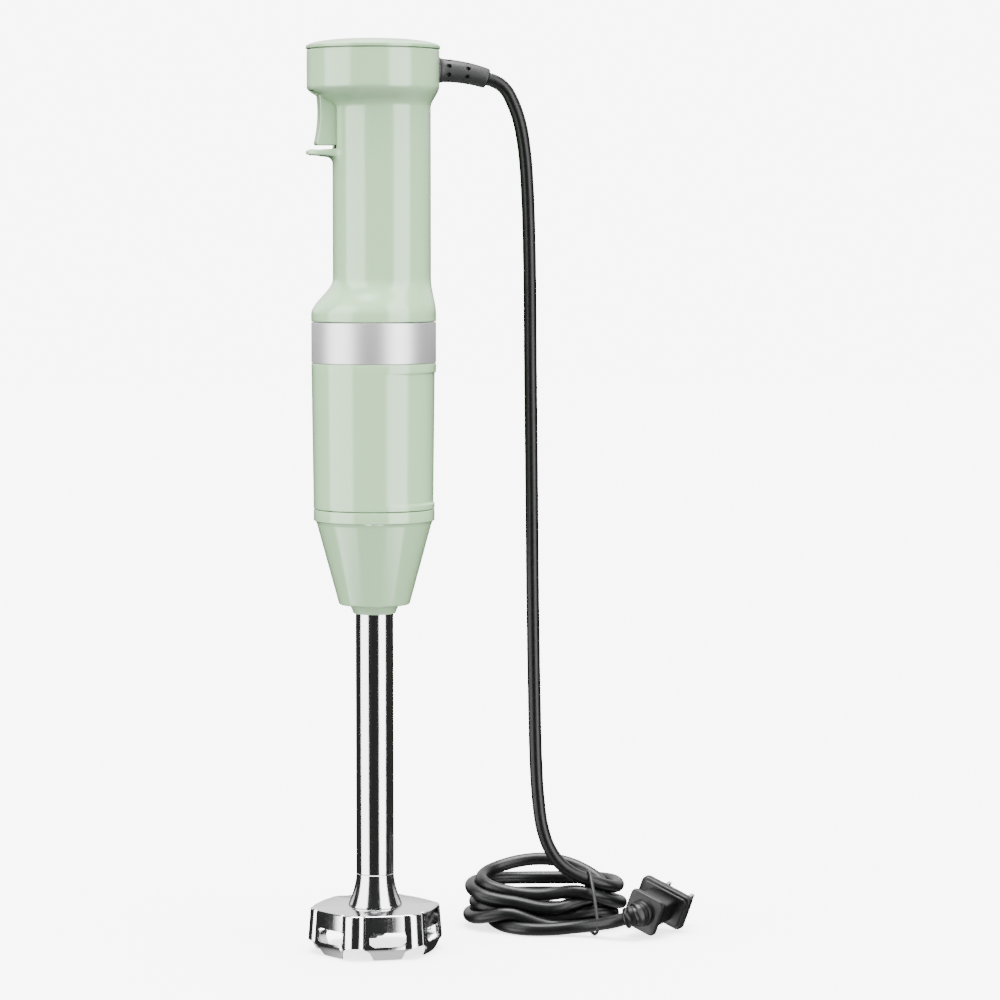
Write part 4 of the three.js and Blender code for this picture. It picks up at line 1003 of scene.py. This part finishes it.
def build_lead(lead):
    """The lead, a round section with a faint wave along it, and its boot, plug and tie."""
    diameter = lead.diameter / MM
    route = lead_route(lead)
    place = along(route)
    wave = 1 + 0.006 * np.sin(np.arange(len(place)) * 0.9)
    parts = [sweep(place, diameter / 2 * wave, 20, (1, 0, 0))]
    stands_for = ["power_cord", "cord_coil", "cord_tail"]
    cord = make_piece("mains_lead", parts, "cord_vinyl", "motor_body", stands_for)
    boot = build_relief()
    plug = build_plug()
    tie = build_tie(route, diameter)


BOOT_LENGTH = 22.6
BOOT_DROOP = math.radians(18)
BOOT_START_R, BOOT_END_R = 5.3, 4.5
BOOT_ROUNDING = 0.9
BOOT_SIDES = 96
VENT_RINGS = (4.0, 12.6)
VENTS_IN_RING = 8
VENT_DEPTH = 1.5


def build_relief():
    """The boot where the lead leaves the head. It tapers evenly and droops in one arc. Its flange
    fades away from the head as an exponential, and its end is a quarter round. Two rings of small
    holes are pressed in: each is deepest within a set distance of its centre."""
    end, lip = HEAD_R + BOOT_LENGTH, BOOT_ROUNDING
    bend_r = BOOT_LENGTH / BOOT_DROOP
    s = np.concatenate([
        np.linspace(HEAD_R - 3.4, HEAD_R, 6),
        np.linspace(HEAD_R, end - lip, 70)[1:],
        end - lip + lip * np.sin(np.linspace(0, math.pi / 2, 5))[1:],
    ])
    out = np.clip(s - HEAD_R, 0, None)
    angle = out / bend_r
    y = np.minimum(s, HEAD_R) + bend_r * np.sin(angle)
    z = Z_HEAD_TOP - 8.8 - bend_r * (1 - np.cos(angle))
    route = np.stack([0 * s, y, z], -1)
    taper = BOOT_START_R + (BOOT_END_R - BOOT_START_R) * out / BOOT_LENGTH
    flange = 0.9 * np.exp(-out / 0.7)
    past = np.clip(s - end + lip, 0, lip) / lip
    radius = taper + flange - lip * (1 - np.sqrt(1 - past**2))
    points, faces = sweep(route, radius, BOOT_SIDES, (1, 0, 0))

    around = np.linspace(0, 2 * math.pi, BOOT_SIDES, endpoint=False)
    station = np.concatenate([[0], s, [0]]) - HEAD_R
    dent = np.zeros((len(station), BOOT_SIDES))
    for at in VENT_RINGS:
        for k in range(VENTS_IN_RING):
            turn = np.angle(np.exp(1j * (around - 2 * math.pi * (k + 0.5) / VENTS_IN_RING)))
            away = np.hypot((station - at)[:, None], (turn * 5.1)[None])
            dent += VENT_DEPTH * ease((1.0 - away) / 0.35)
    inward = np.concatenate([route[:1], route, route[-1:]])[:, None] - points
    depth = np.linalg.norm(inward, axis=-1, keepdims=True)
    points = points + inward / np.maximum(depth, 1e-6) * dent[..., None] * (depth > 1)
    return make_piece("lead_boot", [(points, faces)], "black_rubber", "motor_body", ["strain_relief"], 50)


# Place and turn of the plug, whose own Z runs from the lead to the blades.
PLUG_PLACE = [122.2, 24.7, 11.9]
PLUG_YAW, PLUG_PITCH, PLUG_ROLL = 28, 3, 22
PLUG_BOOT = [[114.2, 21.2, 9.9], [117, 20.7, 10.8], [119.9, 21.9, 11.6], [122.4, 25.2, 11.9]]
RIB_COUNT = 4.2
RIB_DEPTH = 0.42


def plug_axes():
    """The plug's own three axes as rows: turned by yaw and pitch, then rolled round its length."""
    flat = COIL_TURN - math.radians(PLUG_YAW)
    way = np.array([-math.sin(flat), math.cos(flat), math.sin(math.radians(PLUG_PITCH))])
    way /= np.linalg.norm(way)
    side = np.array([math.cos(flat), math.sin(flat), 0])
    up = -np.cross(way, side)
    roll = math.radians(PLUG_ROLL)
    x = side * math.cos(roll) - up * math.sin(roll)
    return np.stack([x, np.cross(way, x), way])


def build_plug():
    """A moulded plug: square flange, waisted neck, wide face with a raised rim, and a ribbed boot."""
    blocks = [
        rounded_block(17.5, 17.5, 2.6, 0, 3, 0.7),
        rounded_block(15, 11, 2, 1, 21, 0.5),
        rounded_block(26, 17, 2.8, 20, 24.5, 0.8),
        rounded_block(23.4, 14.4, 2.2, 18.9, 21, 0.6),
    ]
    axes, origin = plug_axes(), along([PLUG_PLACE])[0]
    parts = [(points @ axes + origin, faces) for points, faces in blocks]
    route = smooth_route(along(PLUG_BOOT), 0.22)
    run = np.linspace(0, 1, len(route))
    ribs = RIB_DEPTH * np.clip(np.sin(run * RIB_COUNT * 2 * math.pi) * 3, -1, 1)
    parts.append(sweep(route, 4.3 + 1.7 * run + ribs, 40))
    return make_piece("mains_plug", parts, "cord_vinyl", "motor_body", ["plug_body"], 45)


TIE_FRONT, TIE_BACK = (102.0, 21.8), (96.5, 51.0)
TIE_R = 0.75


def build_tie(route, diameter):
    """A covered wire pulled round the bundle. In the tie's upright plane, it follows the outermost
    line round the strands that pass through: for each direction, the strand that lies farthest that
    way, plus its radius."""
    front, back = np.array(TIE_FRONT), np.array(TIE_BACK)
    across = (back - front) / np.linalg.norm(back - front)
    through = np.array([across[1], -across[0]])
    offset = (route[:, :2] - front) @ through
    s = (route[:, :2] - front) @ across
    width = np.linalg.norm(back - front)
    passes = offset[:-1] * offset[1:] <= 0
    cross = np.nonzero(passes & (s[:-1] > 0) & (s[:-1] < width))[0]
    strands = np.stack([s[cross], route[cross, 2]], -1)
    angle = np.linspace(0, 2 * math.pi, 160, endpoint=False)
    normal = np.stack([np.cos(angle), np.sin(angle)], -1)
    support = (strands @ normal.T).max(0) + diameter / 2 + 0.7
    wrapped = np.concatenate([support[-4:], support, support[:4]])
    support = np.convolve(wrapped, np.ones(9) / 9, "valid")
    slope = np.gradient(np.concatenate([support[-1:], support, support[:1]]), angle[1])[1:-1]
    tangent = np.stack([-normal[:, 1], normal[:, 0]], -1)
    loop = support[:, None] * normal + slope[:, None] * tangent
    loop[:, 1] = np.maximum(loop[:, 1], TIE_R)
    path = np.column_stack([front + loop[:, :1] * across, loop[:, 1]])
    parts = [sweep(along(path), TIE_R, 10, closed=True)]
    return make_piece("lead_tie", parts, "tie_wire", "motor_body", ["cord_tie"])


# ---- Stage ---------------------------------------------------------------------------------------

# The camera: heading and pitch in degrees, places in metres, lens in millimetres.
VIEW_AZIMUTH = 79.0
CAMERA_BACK = 1.575
CAMERA_HEIGHT = 0.322
CAMERA_PITCH = 4.266
CAMERA_ASIDE = 0.0566
LENS = 126.4


def build_camera():
    """The scene's camera, level with the upper half of the body and tilted a little down."""
    azimuth = math.radians(VIEW_AZIMUTH)
    right = np.array([math.cos(azimuth), math.sin(azimuth)])
    toward = np.array([math.sin(azimuth), -math.cos(azimuth)])
    spot = toward * CAMERA_BACK + right * CAMERA_ASIDE
    camera = bpy.data.objects.new("camera", bpy.data.cameras.new("camera"))
    camera.data.lens = LENS
    camera.data.sensor_width = 36
    camera.data.clip_start, camera.data.clip_end = 0.05, 20
    camera.location = (*spot, CAMERA_HEIGHT)
    camera.rotation_euler = (math.radians(90 - CAMERA_PITCH), 0, azimuth)
    bpy.context.scene.collection.objects.link(camera)
    bpy.context.scene.camera = camera


FLOOR_HALF = 6.0
FLOOR_LIFT = 2.4


def build_floor():
    """A wide pale sheet, lifted to the tone of the background behind it."""
    mesh = bpy.data.meshes.new("floor")
    corners = [(-1, -1, 0), (1, -1, 0), (1, 1, 0), (-1, 1, 0)]
    mesh.from_pydata((np.array(corners) * FLOOR_HALF).tolist(), [], [(0, 1, 2, 3)])
    white = (1, 1, 1, 1)
    finish = Finish("floor_paper", Roughness=0.9, Emission_Color=white, Emission_Strength=FLOOR_LIFT)
    finish.vary_colour(finish.noise(3, 2), (0.93, 0.93, 0.93), (0.95, 0.95, 0.95))
    mesh.materials.append(finish.material)
    floor = bpy.data.objects.new("floor", mesh)
    bpy.context.scene.collection.objects.link(floor)
    floor.visible_glossy = False
    floor.visible_diffuse = False


# Each panel of light: heading from the view, half width, lowest and highest angle, all in degrees,
# and strength.
SOFTBOXES = [
    (-64, 26, -40, 55, 8.0),
    (50.5, 20.5, -40, 55, 9.5),
    (178, 60, 0, 60, 2.2),
    (0, 180, 62, 90, 30.0),
]
PANEL_SOFTNESS = math.radians(5)
# Strengths of the dark surroundings, the fill on matt surfaces, the floor's reflection and the
# background.
AMBIENT = 0.04
AMBIENT_DIFFUSE = 2.0
FLOOR_GLOSS = 1.3
BACKGROUND = 8.0


def build_studio():
    """The studio as a world: dark surroundings, four soft-edged panels of light, and a plain pale
    background for the camera."""
    world = bpy.data.worlds.new("studio")
    world.use_nodes = True
    bpy.context.scene.world = world
    nodes, links = world.node_tree.nodes, world.node_tree.links
    nodes.clear()

    def math_node(operation, *values, clamp=False):
        node = nodes.new("ShaderNodeMath")
        node.operation = operation
        node.use_clamp = clamp
        for socket, value in zip(node.inputs, values):
            if isinstance(value, (int, float)):
                socket.default_value = value
            else:
                links.new(value, socket)
        return node.outputs[0]

    where = nodes.new("ShaderNodeSeparateXYZ")
    links.new(nodes.new("ShaderNodeTexCoord").outputs["Generated"], where.inputs[0])
    x, y, z = where.outputs
    heading = math_node("ARCTAN2", y, x)
    height = math_node("ARCSINE", z)
    soft = PANEL_SOFTNESS

    def faded(inner, outer, width):
        return math_node("DIVIDE", math_node("SUBTRACT", inner, outer), width, clamp=True)

    def product(*values):
        return functools.reduce(lambda first, second: math_node("MULTIPLY", first, second), values)

    total = AMBIENT
    for away, half, low, high, light in SOFTBOXES:
        centre = math.radians(VIEW_AZIMUTH - 90 + away)
        off = math_node("SUBTRACT", heading, centre)
        off = math_node("ABSOLUTE", math_node("WRAP", off, math.pi, -math.pi))
        inside = faded(math.radians(half) + soft / 2, off, soft)
        above = faded(height, math.radians(low), 2 * soft)
        below = 1.0 if high == 90 else faded(math.radians(high), height, 2 * soft)
        total = math_node("ADD", total, product(inside, above, below, light))
    path = nodes.new("ShaderNodeLightPath")
    sky = math_node("MULTIPLY_ADD", z, 3.0, 0.75, clamp=True)
    fill = product(sky, AMBIENT_DIFFUSE, path.outputs["Is Diffuse Ray"])
    low = math_node("MULTIPLY_ADD", z, -4.0, -2.0, clamp=True)
    ground = product(low, FLOOR_GLOSS, path.outputs["Is Glossy Ray"])
    total = math_node("ADD", math_node("ADD", total, ground), fill)
    room, paper = nodes.new("ShaderNodeBackground"), nodes.new("ShaderNodeBackground")
    links.new(total, room.inputs["Strength"])
    paper.inputs["Color"].default_value = (1, 1, 1, 1)
    paper.inputs["Strength"].default_value = BACKGROUND
    choose, out = nodes.new("ShaderNodeMixShader"), nodes.new("ShaderNodeOutputWorld")
    links.new(path.outputs["Is Camera Ray"], choose.inputs["Fac"])
    links.new(room.outputs[0], choose.inputs[1])
    links.new(paper.outputs[0], choose.inputs[2])
    links.new(choose.outputs[0], out.inputs["Surface"])


# ---- Operators and panel -------------------------------------------------------------------------


def dress_frame():
    """Gives every frame node the finish of its slot in the record."""
    for part in frame["record"]["subparts"]:
        mesh = frame["nodes"][part["node"]].data
        mesh.materials.clear()
        mesh.materials.append(FINISHES[part["material_slot"]])


class BLENDER_MAKER_OT_stage(bpy.types.Operator):
    """Makes the camera, the floor and the studio light."""

    bl_idname = "blender_maker.stage"
    bl_label = "Stage"

    def execute(self, context):
        build_camera()
        build_floor()
        build_studio()
        return {"FINISHED"}


class BLENDER_MAKER_OT_finishes(bpy.types.Operator):
    """Makes every material, and gives the frame's nodes the finish of their slots."""

    bl_idname = "blender_maker.finishes"
    bl_label = "Finishes"

    def execute(self, context):
        scene = context.scene
        make_finishes(scene.shell_settings, scene.steel_settings, scene.lead_settings)
        dress_frame()
        return {"FINISHED"}


class BLENDER_MAKER_OT_lead(bpy.types.Operator):
    """Builds the lead with its boot, tie and plug."""

    bl_idname = "blender_maker.lead"
    bl_label = "Mains lead"

    def execute(self, context):
        build_lead(context.scene.lead_settings)
        return {"FINISHED"}


class BLENDER_MAKER_OT_upper_shell(bpy.types.Operator):
    """Builds the upper shell with its finger ledge."""

    bl_idname = "blender_maker.upper_shell"
    bl_label = "Grip and head"

    def execute(self, context):
        build_upper_shell(context.scene.shell_settings)
        return {"FINISHED"}


class BLENDER_MAKER_OT_cap(bpy.types.Operator):
    """Builds the head's domed cap."""

    bl_idname = "blender_maker.cap"
    bl_label = "Head cap"

    def execute(self, context):
        build_top_cap(context.scene.shell_settings)
        return {"FINISHED"}


class BLENDER_MAKER_OT_sleeve(bpy.types.Operator):
    """Builds the sleeve with its recess."""

    bl_idname = "blender_maker.sleeve"
    bl_label = "Motor sleeve"

    def execute(self, context):
        build_sleeve(context.scene.shell_settings)
        return {"FINISHED"}


class BLENDER_MAKER_OT_band(bpy.types.Operator):
    """Builds the brushed trim band."""

    bl_idname = "blender_maker.band"
    bl_label = "Trim band"

    def execute(self, context):
        build_band()
        return {"FINISHED"}


class BLENDER_MAKER_OT_trigger(bpy.types.Operator):
    """Builds the finger trigger."""

    bl_idname = "blender_maker.trigger"
    bl_label = "Trigger"

    def execute(self, context):
        build_trigger()
        return {"FINISHED"}


class BLENDER_MAKER_OT_cone(bpy.types.Operator):
    """Builds the moulded top of the blending arm."""

    bl_idname = "blender_maker.cone"
    bl_label = "Arm cone"

    def execute(self, context):
        build_arm_cone(context.scene.shell_settings)
        return {"FINISHED"}


class BLENDER_MAKER_OT_tube(bpy.types.Operator):
    """Builds the blending tube and its foot."""

    bl_idname = "blender_maker.tube"
    bl_label = "Tube"

    def execute(self, context):
        build_tube()
        return {"FINISHED"}


class BLENDER_MAKER_OT_bell(bpy.types.Operator):
    """Builds the bell guard."""

    bl_idname = "blender_maker.bell"
    bl_label = "Bell"

    def execute(self, context):
        build_bell(context.scene.steel_settings)
        return {"FINISHED"}


# In the order in which they are run.
OPERATORS = [
    BLENDER_MAKER_OT_stage,
    BLENDER_MAKER_OT_finishes,
    BLENDER_MAKER_OT_lead,
    BLENDER_MAKER_OT_upper_shell,
    BLENDER_MAKER_OT_cap,
    BLENDER_MAKER_OT_sleeve,
    BLENDER_MAKER_OT_band,
    BLENDER_MAKER_OT_trigger,
    BLENDER_MAKER_OT_cone,
    BLENDER_MAKER_OT_tube,
    BLENDER_MAKER_OT_bell,
]


class BLENDER_MAKER_PT_panel(bpy.types.Panel):
    """Settings and build steps."""

    bl_label = "Blender Maker"
    bl_space_type = "VIEW_3D"
    bl_region_type = "UI"
    bl_category = "Blender Maker"

    def draw(self, context):
        for group in ("shell_settings", "steel_settings", "lead_settings"):
            settings = getattr(context.scene, group)
            for name in settings.bl_rna.properties.keys():
                if name not in ("rna_type", "name"):
                    self.layout.prop(settings, name)
        for step in OPERATORS:
            self.layout.operator(step.bl_idname)


CLASSES = [ShellSettings, SteelSettings, LeadSettings, *OPERATORS, BLENDER_MAKER_PT_panel]


def register():
    for item in CLASSES:
        bpy.utils.register_class(item)
    bpy.types.Scene.shell_settings = PointerProperty(type=ShellSettings)
    bpy.types.Scene.steel_settings = PointerProperty(type=SteelSettings)
    bpy.types.Scene.lead_settings = PointerProperty(type=LeadSettings)


def unregister():
    for name in ("shell_settings", "steel_settings", "lead_settings"):
        delattr(bpy.types.Scene, name)
    for item in reversed(CLASSES):
        bpy.utils.unregister_class(item)


def main():
    """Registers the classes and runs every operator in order."""
    register()
    for step in OPERATORS:
        getattr(bpy.ops.blender_maker, step.bl_idname.split(".")[1])()


if __name__ == "__main__":
    main()
